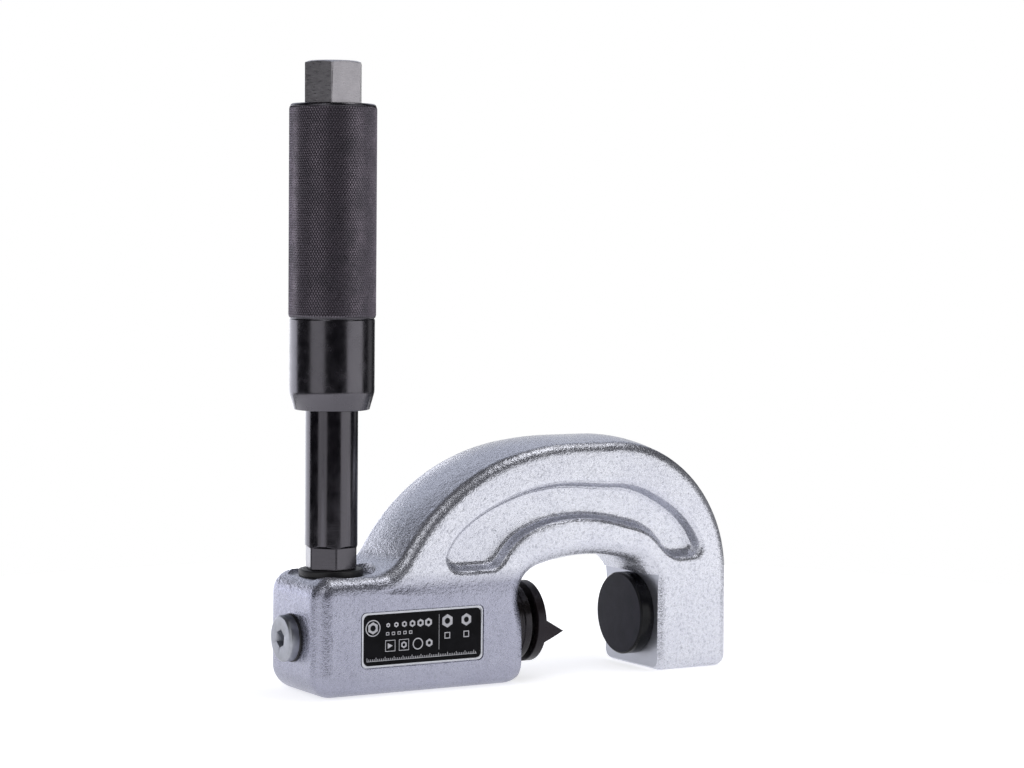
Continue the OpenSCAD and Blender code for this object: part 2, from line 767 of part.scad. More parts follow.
module grip_sleeve() {
  color("dimgray")
    difference() {
      rotate_extrude()
        polygon([
          [tube_d / 2 + loose_fit, collar_low],
          [collar_rim_d / 2, collar_low],
          [collar_d / 2, collar_taper],
          [collar_d / 2, knurl_low],
          [knurl_d / 2, knurl_low],
          [knurl_d / 2, grip_top - grip_chamfer],
          [knurl_d / 2 - grip_chamfer, grip_top],
          [head_d / 2, grip_top],
          [head_d / 2, grip_top - head_h],
          [sleeve_bore_d / 2, grip_top - head_h],
          [sleeve_bore_d / 2, collar_low + collar_lip],
          [tube_d / 2 + loose_fit, collar_low + collar_lip]
        ]);
      pin_hole();
    }
}

module grip_wiper() {
  color("black")
    translate([0, 0, collar_low + collar_lip])
      washer(sleeve_bore_d / 2, tube_d / 2 + running_fit, grip_wiper_h);
}

module grip_bush() {
  color("peru")
    translate([0, 0, collar_low + collar_lip + grip_wiper_h])
      washer(sleeve_bore_d / 2, tube_d / 2 + running_fit, grip_bush_h);
}

module grip_pin() {
  color("silver") translate([0, head_d / 2, grip_top - pin_l]) cylinder(r = pin_d / 2, h = pin_l);
}

frame();
name_plate();
port_plug();
port_plug_seal();
pump_tube();
tube_washer();
gland_nut();
gland_seal();
gland_bush();
gland_wiper();
anvil_pad();
anvil_ring();
return_spring();
piston();
piston_seal();
piston_guide();
chisel();
chisel_ring();
plunger();
plunger_seal();
plunger_backup();
thrust_ball();
drive_screw();
grip_sleeve();
grip_wiper();
grip_bush();
grip_pin();
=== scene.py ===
"""Hydraulic nut splitter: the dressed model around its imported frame. Metres, +Z up, ram along +X."""
import math

import bmesh
import bpy
import numpy as np
from mathutils import Matrix, Vector


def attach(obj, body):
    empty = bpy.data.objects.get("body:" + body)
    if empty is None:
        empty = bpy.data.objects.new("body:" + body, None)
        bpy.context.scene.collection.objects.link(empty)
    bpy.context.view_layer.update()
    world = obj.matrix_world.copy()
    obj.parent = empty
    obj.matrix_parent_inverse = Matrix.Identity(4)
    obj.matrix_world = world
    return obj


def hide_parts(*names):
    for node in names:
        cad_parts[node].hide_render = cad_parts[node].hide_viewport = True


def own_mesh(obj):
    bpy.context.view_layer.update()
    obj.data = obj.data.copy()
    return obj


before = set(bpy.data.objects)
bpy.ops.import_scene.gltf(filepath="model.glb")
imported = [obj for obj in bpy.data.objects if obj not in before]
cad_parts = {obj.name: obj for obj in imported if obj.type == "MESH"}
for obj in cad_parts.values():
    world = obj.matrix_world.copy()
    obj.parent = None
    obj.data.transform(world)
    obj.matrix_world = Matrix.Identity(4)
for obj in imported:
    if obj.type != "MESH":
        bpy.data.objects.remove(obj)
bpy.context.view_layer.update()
MM = 0.001

# Sizes of the casting, in millimetres and degrees, as in the frame; only ARC_ROUND is larger, by 1.5
BLOCK_LEFT, BLOCK_RIGHT, BLOCK_TOP = 21.4, 94.2, 59.5
THICK, ARC_STEP, RAM_Z = 55.0, 1.2, 28.2
BOTTOM_ROUND, TOP_ROUND, END_ROUND, ARC_ROUND = 11.0, 9.0, 8.5, 6.5
ARC_TOP, JAW_RIGHT, CROWN_R, CROWN_FLAT, CROWN_REACH = 121.0, 221.3, 72.0, 21.0, 57.0
FOOT_SLOPE, FOOT_FILLET, FOOT_X, FOOT_REACH = 59.0, 19.0, 28.7, 25.0
RIM_DRAFT = 2.0  # how far the outer rim stands proud along its middle
JAW_SEAT, SEAT_DEPTH, SEAT_TOP = 177.5, 1.8, 50.7
THROAT_TOP, THROAT_R, THROAT_CORNER, THROAT_ROUND = 63.0, 100.0, 17.0, 8.0
HEEL_CORNER, TOP_CORNER, JAW_ROUND, CAST_EXTRA = 12.0, 10.5, 6.0, 6.0
POCKET_DEPTH, POCKET_WALL, POCKET_LOW, POCKET_CORNER = 7.5, 6.0, 57.0, 9.0
RIM = (29.0, 18.0, 20.0, 20.0, 13.0)  # solid width outside the pocket, from foot to jaw
RIM_STOPS = (0, 0.25, 0.4, 0.7, 1)
LIP = (12.0, 24.5, 14.5, 9.5)  # solid width between pocket and throat, from foot to jaw
LIP_STOPS = (0, 0.3, 0.65, 0.95)
SPOT_R, SPOT_Z, SPOT_FILLET, SPOT_CLEAR = 22.0, 57.6, 0.6, 30.0
TUBE_THREAD_R, THREAD_END = 11.0, 42.6
BORE_R, BORE_START, PORT_R, PORT_DEPTH = 19.0, 24.0, 8.3, 10.0
CHAMBER_R, CHAMBER_LOW = 10.0, 24.2  # where the plunger goes down below the tube
GLAND_R, GLAND_ROOM = 20.0, 0.25
PLATE = (3.0, 14.8, 68.0, 27.0)  # left, low, length, height
PLATE_CORNER, PLATE_RECESS, PLATE_GAP = 2.5, 1.2, 0.5
CUT_PAST, HAIR = 5.0, 0.01  # how far cutters run past the metal, and stand off the piece inside
TINY = 1e-6  # keeps divisions off zero


def smooth(t):
    t = np.clip(t, 0.0, 1.0)
    return t * t * (3 - 2 * t)


def ramp(a, b, t):
    return a + (b - a) * smooth(t)


def along(values, stops, t):
    """A smooth run through values, reached at the given stops."""
    out = np.full_like(np.asarray(t, float), values[0])
    for a, b, s, e in zip(values, values[1:], stops, stops[1:]):
        out = np.where(t > s, ramp(a, b, (t - s) / (e - s)), out)
    return out


# Mesh helpers
WELD, CAST_WELD = 1e-7, 1e-6  # points closer than this, in metres, become one


def new_object(name, verts, faces, merge=0.0):
    mesh = bpy.data.meshes.new(name)
    mesh.from_pydata([tuple(v) for v in verts], [], [tuple(int(i) for i in f) for f in faces])
    if merge:
        bm = bmesh.new()
        bm.from_mesh(mesh)
        bmesh.ops.remove_doubles(bm, verts=bm.verts, dist=merge)
        bmesh.ops.dissolve_degenerate(bm, edges=bm.edges, dist=merge)
        bmesh.ops.recalc_face_normals(bm, faces=bm.faces)
        bm.to_mesh(mesh)
        bm.free()
    mesh.validate()
    obj = bpy.data.objects.new(name, mesh)
    bpy.context.scene.collection.objects.link(obj)
    return obj


def grid_faces(rows, around):
    """The faces of a skin made of closed rings of points, row after row."""
    faces = []
    for i in range(rows - 1):
        for k in range(around):
            n = (k + 1) % around
            faces.append((i * around + k, i * around + n, (i + 1) * around + n, (i + 1) * around + k))
    return faces


def prism(name, ends):
    """A closed prism between two like loops of points in millimetres."""
    n = len(ends[0])
    faces = [tuple(range(n)), tuple(range(2 * n - 1, n - 1, -1))]
    faces += [(k, n + k, n + (k + 1) % n, (k + 1) % n) for k in range(n)]
    return new_object(name, [Vector(p) * MM for end in ends for p in end], faces, merge=WELD)


def finish_mesh(obj, angle=32.0):
    """Smooth shading, with edges sharper than the angle kept sharp."""
    mesh = obj.data
    mesh.polygons.foreach_set("use_smooth", [True] * len(mesh.polygons))
    mesh.set_sharp_from_angle(angle=math.radians(angle))
    mesh.update()


def apply_modifiers(obj):
    deps = bpy.context.evaluated_depsgraph_get()
    mesh = bpy.data.meshes.new_from_object(obj.evaluated_get(deps))
    obj.modifiers.clear()
    obj.data = mesh


def even_faces(obj):
    """Keeps wide flats flat in the shading where they meet small rounds."""
    mod = obj.modifiers.new("weights", "WEIGHTED_NORMAL")
    mod.keep_sharp = True
    apply_modifiers(obj)


def cut(obj, cutter):
    mod = obj.modifiers.new("cut", "BOOLEAN")
    mod.operation = "DIFFERENCE"
    mod.solver = "EXACT"
    mod.object = cutter
    bpy.context.view_layer.update()
    apply_modifiers(obj)
    bpy.data.objects.remove(cutter, do_unlink=True)


def rounded_profile(points, radius, steps=4):
    """A profile's corners replaced by short arcs. points are (r, z) or (r, z, own radius)."""
    out = []
    for i, p in enumerate(points):
        p_xy = Vector(p[:2])
        r = p[2] if len(p) > 2 else radius
        if i in (0, len(points) - 1) or r <= 0:
            out.append(tuple(p_xy))
            continue
        a = Vector(points[i - 1][:2]) - p_xy
        b = Vector(points[i + 1][:2]) - p_xy
        reach = min(r, a.length * 0.45, b.length * 0.45)
        start = p_xy + a.normalized() * reach
        stop = p_xy + b.normalized() * reach
        for k in range(steps + 1):
            t = k / steps
            out.append(tuple(start * (1 - t) ** 2 + p_xy * 2 * t * (1 - t) + stop * t * t))
    return out


UPRIGHT = Matrix.Identity(4)


def along_ram(x):
    """Local z runs along +X from this place on the ram's axis."""
    return Matrix.Translation((x, 0, RAM_Z)) @ Matrix.Rotation(math.radians(90), 4, "Y")


def lathe(name, profile, place=UPRIGHT, segments=160, closed=True):
    """Turns a profile of (radius, height) in millimetres about local z."""
    ring = len(profile)
    angles = np.linspace(0, 2 * math.pi, segments, endpoint=False)
    verts = [place @ Vector((r * math.cos(a), r * math.sin(a), z)) * MM for a in angles for r, z in profile]
    faces = []
    last = ring if closed else ring - 1
    for s in range(segments):
        n = (s + 1) % segments
        for k in range(last):
            m = (k + 1) % ring
            faces.append((s * ring + k, n * ring + k, n * ring + m, s * ring + m))
    obj = new_object(name, verts, faces, merge=WELD)
    finish_mesh(obj)
    return obj


# The casting
def arc_at(centre, radius, start, end):
    def point(t):
        a = np.radians(start + (end - start) * t)
        return np.stack([centre[0] + radius * np.cos(a), centre[1] + radius * np.sin(a)], -1)
    return point


def line_at(p, q):
    p, q = np.asarray(p, float), np.asarray(q, float)
    return lambda t: p + (q - p) * t[:, None]


def bezier_at(p, q, r, s):
    p, q, r, s = (np.asarray(v, float) for v in (p, q, r, s))

    def point(t):
        t = t[:, None]
        return (1 - t) ** 3 * p + 3 * (1 - t) ** 2 * t * q + 3 * (1 - t) * t * t * r + t ** 3 * s
    return point


def part_of(fn, a, b):
    return lambda t: fn(a + (b - a) * t)


def casting_stations():
    """Pairs of outline points: one under the casting, one over it, with edge radii and a step."""
    jaw_wall = JAW_SEAT - SEAT_DEPTH
    mid = (BLOCK_RIGHT + jaw_wall) / 2
    sweep_z = THROAT_TOP - THROAT_R
    dx = (jaw_wall - BLOCK_RIGHT) / 2 - THROAT_CORNER
    corner_z = sweep_z + math.sqrt((THROAT_R - THROAT_CORNER) ** 2 - dx * dx)
    corner_a = math.degrees(math.acos(dx / (THROAT_R - THROAT_CORNER)))
    crown = (JAW_RIGHT - CROWN_R, ARC_TOP - CROWN_R)
    slope = math.radians(FOOT_SLOPE)
    foot_start = FOOT_X - FOOT_FILLET * math.sin(slope)
    foot = np.array([FOOT_X, BLOCK_TOP + FOOT_FILLET * (1 - math.cos(slope))])
    cast_right = BLOCK_RIGHT + CAST_EXTRA
    flat_x = crown[0] - CROWN_FLAT
    end_middle = (-BLOCK_LEFT, BLOCK_TOP / 2)
    foot_middle = ((jaw_wall + JAW_RIGHT) / 2, 0)
    top_line = line_at((TOP_CORNER - BLOCK_LEFT, BLOCK_TOP), (foot_start, BLOCK_TOP))
    crown_arc = arc_at(crown, CROWN_R, 90, 0)

    def face_line(t):
        x = ramp(cast_right, BLOCK_RIGHT, t)
        z = HEEL_CORNER + (corner_z - HEEL_CORNER) * np.sqrt(t)
        return np.stack([x, z], -1)

    main = arc_at((mid, sweep_z), THROAT_R, 180 - corner_a, corner_a)
    leaving = foot + FOOT_REACH * np.array([math.cos(slope), math.sin(slope)])
    slope_curve = bezier_at(foot, leaving, (flat_x - CROWN_REACH, ARC_TOP), (flat_x, ARC_TOP))
    level = line_at((flat_x, ARC_TOP), (crown[0], ARC_TOP))
    bottom, top, end, throat, arc, jaw = (
        (r, r) for r in (BOTTOM_ROUND, TOP_ROUND, END_ROUND, THROAT_ROUND, ARC_ROUND, JAW_ROUND))
    block, rising, risen = (0, 0), (0, 1), (1, 1)
    # Each stretch: under curve, over curve, rows, stations, and at its two ends: radii under and over, step
    return corner_z, [
        (line_at(end_middle, (-BLOCK_LEFT, HEEL_CORNER)),
         line_at(end_middle, (-BLOCK_LEFT, BLOCK_TOP - TOP_CORNER)), 5, 1, end, end, block),
        (arc_at((HEEL_CORNER - BLOCK_LEFT, HEEL_CORNER), HEEL_CORNER, 180, 270),
         arc_at((TOP_CORNER - BLOCK_LEFT, BLOCK_TOP - TOP_CORNER), TOP_CORNER, 180, 90),
         14, 6, (END_ROUND, BOTTOM_ROUND), (END_ROUND, TOP_ROUND), block),
        (line_at((HEEL_CORNER - BLOCK_LEFT, 0), (cast_right - HEEL_CORNER, 0)),
         part_of(top_line, 0, 0.3), 24, 4, bottom, top, block),
        (arc_at((cast_right - HEEL_CORNER, HEEL_CORNER), HEEL_CORNER, -90, 0),
         part_of(top_line, 0.3, 0.6), 12, 3, bottom, top, block),
        (face_line, part_of(top_line, 0.6, 1), 20, 6, (BOTTOM_ROUND, THROAT_ROUND), top, block),
        (arc_at((BLOCK_RIGHT + THROAT_CORNER, corner_z), THROAT_CORNER, 180, 180 - corner_a),
         arc_at((foot_start, BLOCK_TOP + FOOT_FILLET), FOOT_FILLET, 270, 270 + FOOT_SLOPE),
         30, 8, throat, (TOP_ROUND, ARC_ROUND), rising),
        (part_of(main, 0, 0.7), slope_curve, 66, 14, throat, arc, risen),
        (part_of(main, 0.7, 0.8), level, 10, 2, throat, arc, risen),
        (part_of(main, 0.8, 1), part_of(crown_arc, 0, 0.25), 20, 4, throat, arc, risen),
        (arc_at((jaw_wall - THROAT_CORNER, corner_z), THROAT_CORNER, corner_a, 0),
         part_of(crown_arc, 0.25, 1), 50, 12, (THROAT_ROUND, JAW_ROUND), arc, risen),
        (line_at((jaw_wall, corner_z), (jaw_wall, JAW_ROUND)),
         line_at((JAW_RIGHT, crown[1]), (JAW_RIGHT, JAW_ROUND)), 14, 3, jaw, (ARC_ROUND, JAW_ROUND), risen),
        (arc_at((jaw_wall + JAW_ROUND, JAW_ROUND), JAW_ROUND, 180, 270),
         arc_at((JAW_RIGHT - JAW_ROUND, JAW_ROUND), JAW_ROUND, 0, -90), 9, 3, jaw, jaw, risen),
        (line_at((jaw_wall + JAW_ROUND, 0), foot_middle),
         line_at((JAW_RIGHT - JAW_ROUND, 0), foot_middle), 4, 1, jaw, jaw, risen),
    ]


def inward_normals(points, left):
    d = np.gradient(points, axis=0)
    d /= np.linalg.norm(d, axis=1)[:, None]
    n = np.stack([-d[:, 1], d[:, 0]], -1)
    return n if left else -n


# Stations along the casting, counted from the left end: where the pocket and the draft begin and end
POCKET_FROM, POCKET_TO = 22, 59
DRAFT_FROM, DRAFT_RISE, DRAFT_TO, DRAFT_FALL = 22, 12, 60, 4
ROUND_STEPS, SIDE_STEPS = 9, 6  # columns on each edge round and on half of each outer side
FACE_STEPS = (5, 15, 9, 15, 7)  # columns outside, on and between the pocket's two long walls
WALL_ROOM = 1.0  # least flat beside each long wall for columns set close
# The wall falls gently, steeply and gently again, so that its two rounds show as lines
WALL_FALL, WALL_STOPS = (0, 0.10, 0.90, 1), (0, 0.26, 0.74, 1)


def face_columns(start, stop, low, high):
    """Places across the flat side as shares of its width, set close together on the pocket's walls."""
    wide = high - low > 2 * (POCKET_WALL + WALL_ROOM)
    roomy = wide & (low > start + WALL_ROOM) & (high < stop - WALL_ROOM)
    knots = [start, low, low + POCKET_WALL, high - POCKET_WALL, high, stop]
    passed = 0
    columns = []
    for a, b, steps in zip(knots, knots[1:], FACE_STEPS):
        for k in range(steps):
            even = (passed + k) / sum(FACE_STEPS)
            close = (a + (b - a) * k / steps - start) / np.maximum(stop - start, TINY)
            columns.append(np.where(roomy, close, even))
        passed += steps
    return columns[1:]


def row_dot(a, b):
    return np.einsum("ij,ij->i", a, b)


def casting_mesh():
    """One closed skin: at each row along the C, a ring of points runs once round the casting."""
    corner_z, stretches = casting_stations()
    under, over, r_under, r_over, step, station = [], [], [], [], [], []
    passed = 0
    for k, (low_line, high_line, rows, stations, low_radii, high_radii, steps) in enumerate(stretches):
        t = np.linspace(0, 1, rows, endpoint=k == len(stretches) - 1)
        under.append(low_line(t))
        over.append(high_line(t))
        r_under.append(ramp(*low_radii, t))
        r_over.append(ramp(*high_radii, t))
        step.append(ramp(*steps, 2 * t))
        station.append(passed + stations * t)
        passed += stations
    under, over = np.concatenate(under), np.concatenate(over)
    r_under, r_over, step, station = (np.concatenate(v) for v in (r_under, r_over, step, station))
    half = THICK / 2 - ARC_STEP * step
    n_under, n_over = inward_normals(under, True), inward_normals(over, False)
    rising = smooth((station - DRAFT_FROM) / DRAFT_RISE)
    proud = RIM_DRAFT * rising * (1 - smooth((station - DRAFT_TO) / DRAFT_FALL))

    # The pocket's rows run from just above the foot's hollow to just before the jaw
    t = np.clip((station - POCKET_FROM) / (POCKET_TO - POCKET_FROM), 0, 1)
    rim = along(RIM, RIM_STOPS, t)
    lip = along(LIP, LIP_STOPS, t)
    inside = (station > POCKET_FROM) & (station < POCKET_TO)

    def on_round(line, normals, radii, angle):
        """Points of an edge round: at angle 0 on the flat side, at a right angle on the outer side."""
        inset = (radii * (1 - math.sin(angle)))[:, None]
        return line + normals * inset, -half + radii * (1 - math.cos(angle))

    # From the middle of the under side, over the front, to the middle of the upper side
    turns = np.linspace(0, math.pi / 2, ROUND_STEPS)
    rings = []
    for y in np.linspace(0, 1, SIDE_STEPS, endpoint=False):
        rings.append((under, -(half - r_under) * y))
    for angle in turns[::-1]:
        rings.append(on_round(under, n_under, r_under, angle))
    start = under + n_under * r_under[:, None]
    stop = over + n_over * r_over[:, None]
    span = over - under
    length = np.maximum(np.linalg.norm(span, axis=1), TINY)
    way = span / length[:, None]
    columns = face_columns(row_dot(start - under, way), row_dot(stop - under, way), lip, length - rim)
    for share in columns:
        p = start + (stop - start) * share[:, None]
        u = row_dot(p - under, way)
        a = np.minimum(u - lip, length - rim - u)
        b = p[:, 1] - POCKET_LOW
        in_corner = (a < POCKET_CORNER) & (b < POCKET_CORNER)
        from_corner = POCKET_CORNER - np.hypot(POCKET_CORNER - a, POCKET_CORNER - b)
        near = np.where(in_corner, from_corner, np.minimum(a, b))
        fall = POCKET_DEPTH * along(WALL_FALL, WALL_STOPS, np.clip(near / POCKET_WALL, 0, 1)) * inside
        rings.append((p, -half + fall))
    for angle in turns:
        rings.append(on_round(over, n_over, r_over, angle))
    for y in np.linspace(1, 0, SIDE_STEPS + 1)[1:]:
        rings.append((over - n_over * (proud * (1 - y * y))[:, None], -(half - r_over) * y))
    front = [np.stack([p[:, 0], y, p[:, 1]], -1) for p, y in rings]
    back = [v * (1, -1, 1) for v in front[1:-1]][::-1]
    grid = np.stack(front + back, 1) * MM
    faces = grid_faces(*grid.shape[:2])
    return new_object("casting", grid.reshape(-1, 3), faces, merge=CAST_WELD), corner_z


def plate_loop(grow, corner=PLATE_CORNER, steps=8):
    """The nameplate's outline with round corners, as (x, z) points."""
    left, low, length, height = PLATE
    r = corner + grow
    x0, x1, z0, z1 = left - grow, left + length + grow, low - grow, low + height + grow
    corners = [(x1 - r, z0 + r, -90), (x1 - r, z1 - r, 0), (x0 + r, z1 - r, 90), (x0 + r, z0 + r, 180)]
    out = []
    for cx, cz, a0 in corners:
        for k in range(steps + 1):
            a = math.radians(a0 + 90 * k / steps)
            out.append((cx + r * math.cos(a), cz + r * math.sin(a)))
    return out


def prism_y(name, loop, y0, y1):
    return prism(name, [[(x, y, z) for x, z in loop] for y in (y0, y1)])


def box_cutter(x0, x1, top):
    """A box through the whole thickness, from below the casting up to a height."""
    return prism_y("cutter", [(x0, -CUT_PAST), (x1, -CUT_PAST), (x1, top), (x0, top)], -THICK, THICK)


def rod(r, z0, z1, place=UPRIGHT):
    return lathe("cutter", [(0, z0), (r, z0), (r, z1), (0, z1)], place, 128, closed=False)


def make_casting():
    """The skin with its machined faces, bores, spot face and nameplate recess."""
    casting, corner_z = casting_mesh()
    ahead = BLOCK_RIGHT + 2 * CAST_EXTRA
    cut(casting, box_cutter(BLOCK_RIGHT, ahead, corner_z))
    cut(casting, box_cutter(JAW_SEAT - SEAT_DEPTH - CUT_PAST, JAW_SEAT, SEAT_TOP))
    clear = SPOT_Z + SPOT_CLEAR
    spot = rounded_profile([(0, SPOT_Z), (SPOT_R, SPOT_Z), (SPOT_R + HAIR, clear), (0, clear)], SPOT_FILLET)
    cut(casting, lathe("cutter", spot, closed=False))
    cut(casting, rod(GLAND_R + GLAND_ROOM, BLOCK_RIGHT, ahead, along_ram(0)))
    cut(casting, rod(TUBE_THREAD_R + HAIR, THREAD_END, SPOT_Z + CUT_PAST))
    cut(casting, rod(CHAMBER_R, CHAMBER_LOW, THREAD_END + CUT_PAST))
    cut(casting, rod(BORE_R + HAIR, BORE_START, BLOCK_RIGHT + CUT_PAST, along_ram(0)))
    cut(casting, rod(PORT_R + HAIR, -BLOCK_LEFT - CUT_PAST, PORT_DEPTH - BLOCK_LEFT, along_ram(0)))
    front = -THICK / 2
    cut(casting, prism_y("cutter", plate_loop(PLATE_GAP), front - CUT_PAST, front + PLATE_RECESS))
    finish_mesh(casting, angle=40)
    return casting


casting = make_casting()
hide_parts("frame")
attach(casting, "housing")


# Materials
def add_node(tree, kind, inputs=None, **props):
    """A new node; each of its inputs is given a constant or the output that feeds it."""
    node = tree.nodes.new(kind)
    for key, value in props.items():
        setattr(node, key, value)
    for socket, source in (inputs or {}).items():
        if isinstance(source, bpy.types.NodeSocket):
            tree.links.new(source, node.inputs[socket])
        else:
            node.inputs[socket].default_value = source
    return node


def combine(tree, operation, a, b, **props):
    return add_node(tree, "ShaderNodeMath", {0: a, 1: b}, operation=operation, **props).outputs[0]


class Finish:
    """Builds one procedural material, with its noise placed by the object's own coordinates."""

    def __init__(self, name, color, roughness, metallic=0.0, ior=1.5):
        self.mat = bpy.data.materials.new(name)
        self.mat.use_nodes = True
        self.tree = self.mat.node_tree
        self.shader = self.tree.nodes["Principled BSDF"]
        constants = {"Base Color": (*color, 1), "Roughness": roughness, "Metallic": metallic, "IOR": ior}
        for socket, value in constants.items():
            self.shader.inputs[socket].default_value = value
        self.mat.diffuse_color = (*color, 1)
        self.coord = self.node("ShaderNodeTexCoord").outputs["Object"]
        self.normal = None

    def node(self, kind, inputs=None, **props):
        return add_node(self.tree, kind, inputs, **props)

    def stretched(self, scale):
        return self.node("ShaderNodeMapping", {"Vector": self.coord, "Scale": scale}).outputs[0]

    def noise(self, size, detail=3.0, rough=0.55, vector=None):
        """Noise with features of about this size in metres."""
        inputs = {"Vector": vector or self.coord, "Scale": 1 / size, "Detail": detail, "Roughness": rough}
        return self.node("ShaderNodeTexNoise", inputs).outputs["Fac"]

    def span(self, value, low, high, a=0.3, b=0.7):
        """The stretch from a to b of a value, spread from low to high."""
        inputs = {"Value": value, "From Min": a, "From Max": b, "To Min": low, "To Max": high}
        return self.node("ShaderNodeMapRange", inputs).outputs["Result"]

    def mix(self, share, a, b):
        """Two colours, each given as numbers or as another node's output, mixed by a share."""
        a, b = (v if isinstance(v, bpy.types.NodeSocket) else (*v, 1) for v in (a, b))
        return self.node("ShaderNodeMix", {0: share, 6: a, 7: b}, data_type="RGBA").outputs[2]

    def color(self, source):
        self.tree.links.new(source, self.shader.inputs["Base Color"])

    def roughness(self, value, low, high):
        self.tree.links.new(self.span(value, low, high), self.shader.inputs["Roughness"])

    def bump(self, height, depth, strength=1.0):
        """Adds relief of about this depth in metres."""
        inputs = {"Height": height, "Distance": depth, "Strength": strength}
        if self.normal:
            inputs["Normal"] = self.normal
        self.normal = self.node("ShaderNodeBump", inputs).outputs["Normal"]
        self.tree.links.new(self.normal, self.shader.inputs["Normal"])


BLOCK_SHADE_RISE, BLOCK_SHADE_REACH = (0.052, 0.060), (0.094, 0.106)  # where the block's painted shade ends and the coat turns brighter, up and along X, in metres


def cast_silver():
    """Blasted casting under a silver coat; the block has painted shade, a darker base colour than arc and jaw.
    """
    f = Finish("cast_silver", (0.70, 0.71, 0.78), 0.34, metallic=0.85)
    fine = f.noise(0.0007, 2, 0.6)
    grain = f.noise(0.0014, 3, 0.6)
    lumps = f.noise(0.0036, 2, 0.5)
    broad = f.noise(0.02, 2, 0.5)
    place = f.node("ShaderNodeSeparateXYZ", {0: f.coord})
    above = f.span(place.outputs["Z"], 0, 1, *BLOCK_SHADE_RISE)
    beyond = f.span(place.outputs["X"], 0, 1, *BLOCK_SHADE_REACH)
    # Painted shade: below and left of these bounds the block gets a darker colour than arc and jaw
    tone = f.mix(combine(f.tree, "MAXIMUM", above, beyond), (0.35, 0.355, 0.44), (0.68, 0.69, 0.75))
    tint = f.mix(f.span(broad, 0, 0.25), tone, (0.50, 0.51, 0.60))
    f.color(f.mix(f.span(grain, 0, 0.5, 0.50, 0.72), tint, (0.26, 0.27, 0.33)))
    f.roughness(fine, 0.20, 0.34)
    f.bump(lumps, 0.00040, 0.8)
    f.bump(grain, 0.00026, 0.9)
    f.bump(fine, 0.00010, 0.8)
    return f.mat


def machined_silver():
    f = Finish("machined_silver", (0.44, 0.45, 0.50), 0.34, metallic=0.85)
    lines = f.noise(0.0006, 2, 0.6, f.stretched((1, 0.06, 1)))
    f.color(f.mix(lines, (0.36, 0.37, 0.42), (0.50, 0.51, 0.56)))
    f.roughness(lines, 0.28, 0.42)
    f.bump(lines, 0.00003)
    return f.mat


ALONG_X, ALONG_Z = (1, 0.03, 0.03), (0.03, 0.03, 1)  # noise stretched into rings round each axis
OXIDE_SHEEN = (0.93, 0.89, 1.0, 1)  # black oxide reflects with a faint purple


def turned(name, dark, light, rough, along, metallic=0.0, ior=1.5, depth=0.000012, line=0.0003):
    """A turned finish: fine rings round the axis, under slow cloudy changes of tone."""
    f = Finish(name, light, sum(rough) / 2, metallic, ior)
    rings = f.noise(line, 2, 0.6, f.stretched(along))
    cloud = f.noise(0.006, 4, 0.6)
    f.color(f.mix(f.span(cloud, 0, 1), dark, light))
    f.roughness(cloud, *rough)
    f.bump(rings, depth)
    return f.mat


def grained(name, dark, light, rough, size, depth, metallic=0.0, ior=1.5):
    """A plain finish with fine grain, for rubber, plastic and ground faces."""
    f = Finish(name, light, sum(rough) / 2, metallic, ior)
    grain = f.noise(size, 3, 0.6)
    cloud = f.noise(size * 12, 2, 0.5)
    f.color(f.mix(f.span(cloud, 0, 1), dark, light))
    f.roughness(grain, *rough)
    f.bump(grain, depth)
    return f.mat


def knurl_black():
    """Black oxide that is a little worn on the tips of the knurl."""
    f = Finish("black_oxide_grip", (0.03, 0.028, 0.032), 0.4, ior=1.9)
    flat = f.node("ShaderNodeVectorMath", {0: f.coord, 1: (1, 1, 0)}, operation="MULTIPLY").outputs[0]
    radius = f.node("ShaderNodeVectorMath", {0: flat}, operation="LENGTH").outputs["Value"]
    tip = f.span(radius, 0, 1, (KNURL_R - KNURL_DEPTH) * MM, KNURL_R * MM)
    patchy = f.span(f.noise(0.009, 3, 0.6), 0.35, 1.0)
    worn = combine(f.tree, "MULTIPLY", tip, patchy)
    f.color(f.mix(worn, (0.008, 0.0072, 0.010), (0.23, 0.20, 0.235)))
    f.tree.links.new(worn, f.shader.inputs["Metallic"])
    f.roughness(f.noise(0.004), 0.24, 0.38)
    f.bump(f.noise(0.0004), 0.00002)
    return f.mat


def brushed(name, dark, light, rough, scale, line=0.0004):
    """Ground steel flats with straight marks."""
    f = Finish(name, light, sum(rough) / 2, metallic=1.0)
    marks = f.noise(line, 3, 0.7, f.stretched(scale))
    cloud = f.noise(0.007, 3, 0.6)
    tone = f.mix(f.span(marks, 0, 1), dark, light)
    f.color(f.mix(f.span(cloud, 0, 0.5), tone, dark))
    f.roughness(marks, *rough)
    f.bump(marks, 0.00002)
    return f.mat


# Sizes of the other pieces, in millimetres and degrees
KNURL_R, KNURL_DEPTH, KNURL_LOW, GRIP_TOP = 21.5, 0.42, 184.5, 289.2
KNURL_STEEP = 2.0  # above 1, the knurl's pyramids have flat tips
KNURL_COUNT, KNURL_PITCH, CELL = 96, 2.4, 4  # pyramids in a turn, their height, mesh steps over one
KNURL_AFTER, KNURL_BEFORE = 0.5, 1.2  # from KNURL_LOW to the lattice, and from there to GRIP_TOP
COLLAR_R, COLLAR_RIM_R, COLLAR_LOW, COLLAR_TAPER = 21.0, 18.5, 139.7, 148.5
COLLAR_GROOVE, SLEEVE_IN_R, SLEEVE_IN_DEPTH = 0.35, 13.25, 3.0
GRIP_MOUTH_R, HEAD_R, HEAD_SUNK, HEAD_FOOT = 18.2, 17.9, 0.3, 1.2
HEX_FLATS, HEX_H, HEX_CROWN, HEX_CROWN_WIDTH, HEX_FOOT = 27.0, 20.8, 1.2, 3.6, 1.0
TUBE_R, TUBE_TOP, TUBE_SEAT, TUBE_SHANK = 13.0, 215.2, 61.2, 12.0
TUBE_FLATS, FLATS_TURN, FLATS_TOP = 23.0, 44.3, 73.1
FLATS_FADE, FLATS_SLOPE, TUBE_AROUND = 1.2, 2.4, 240
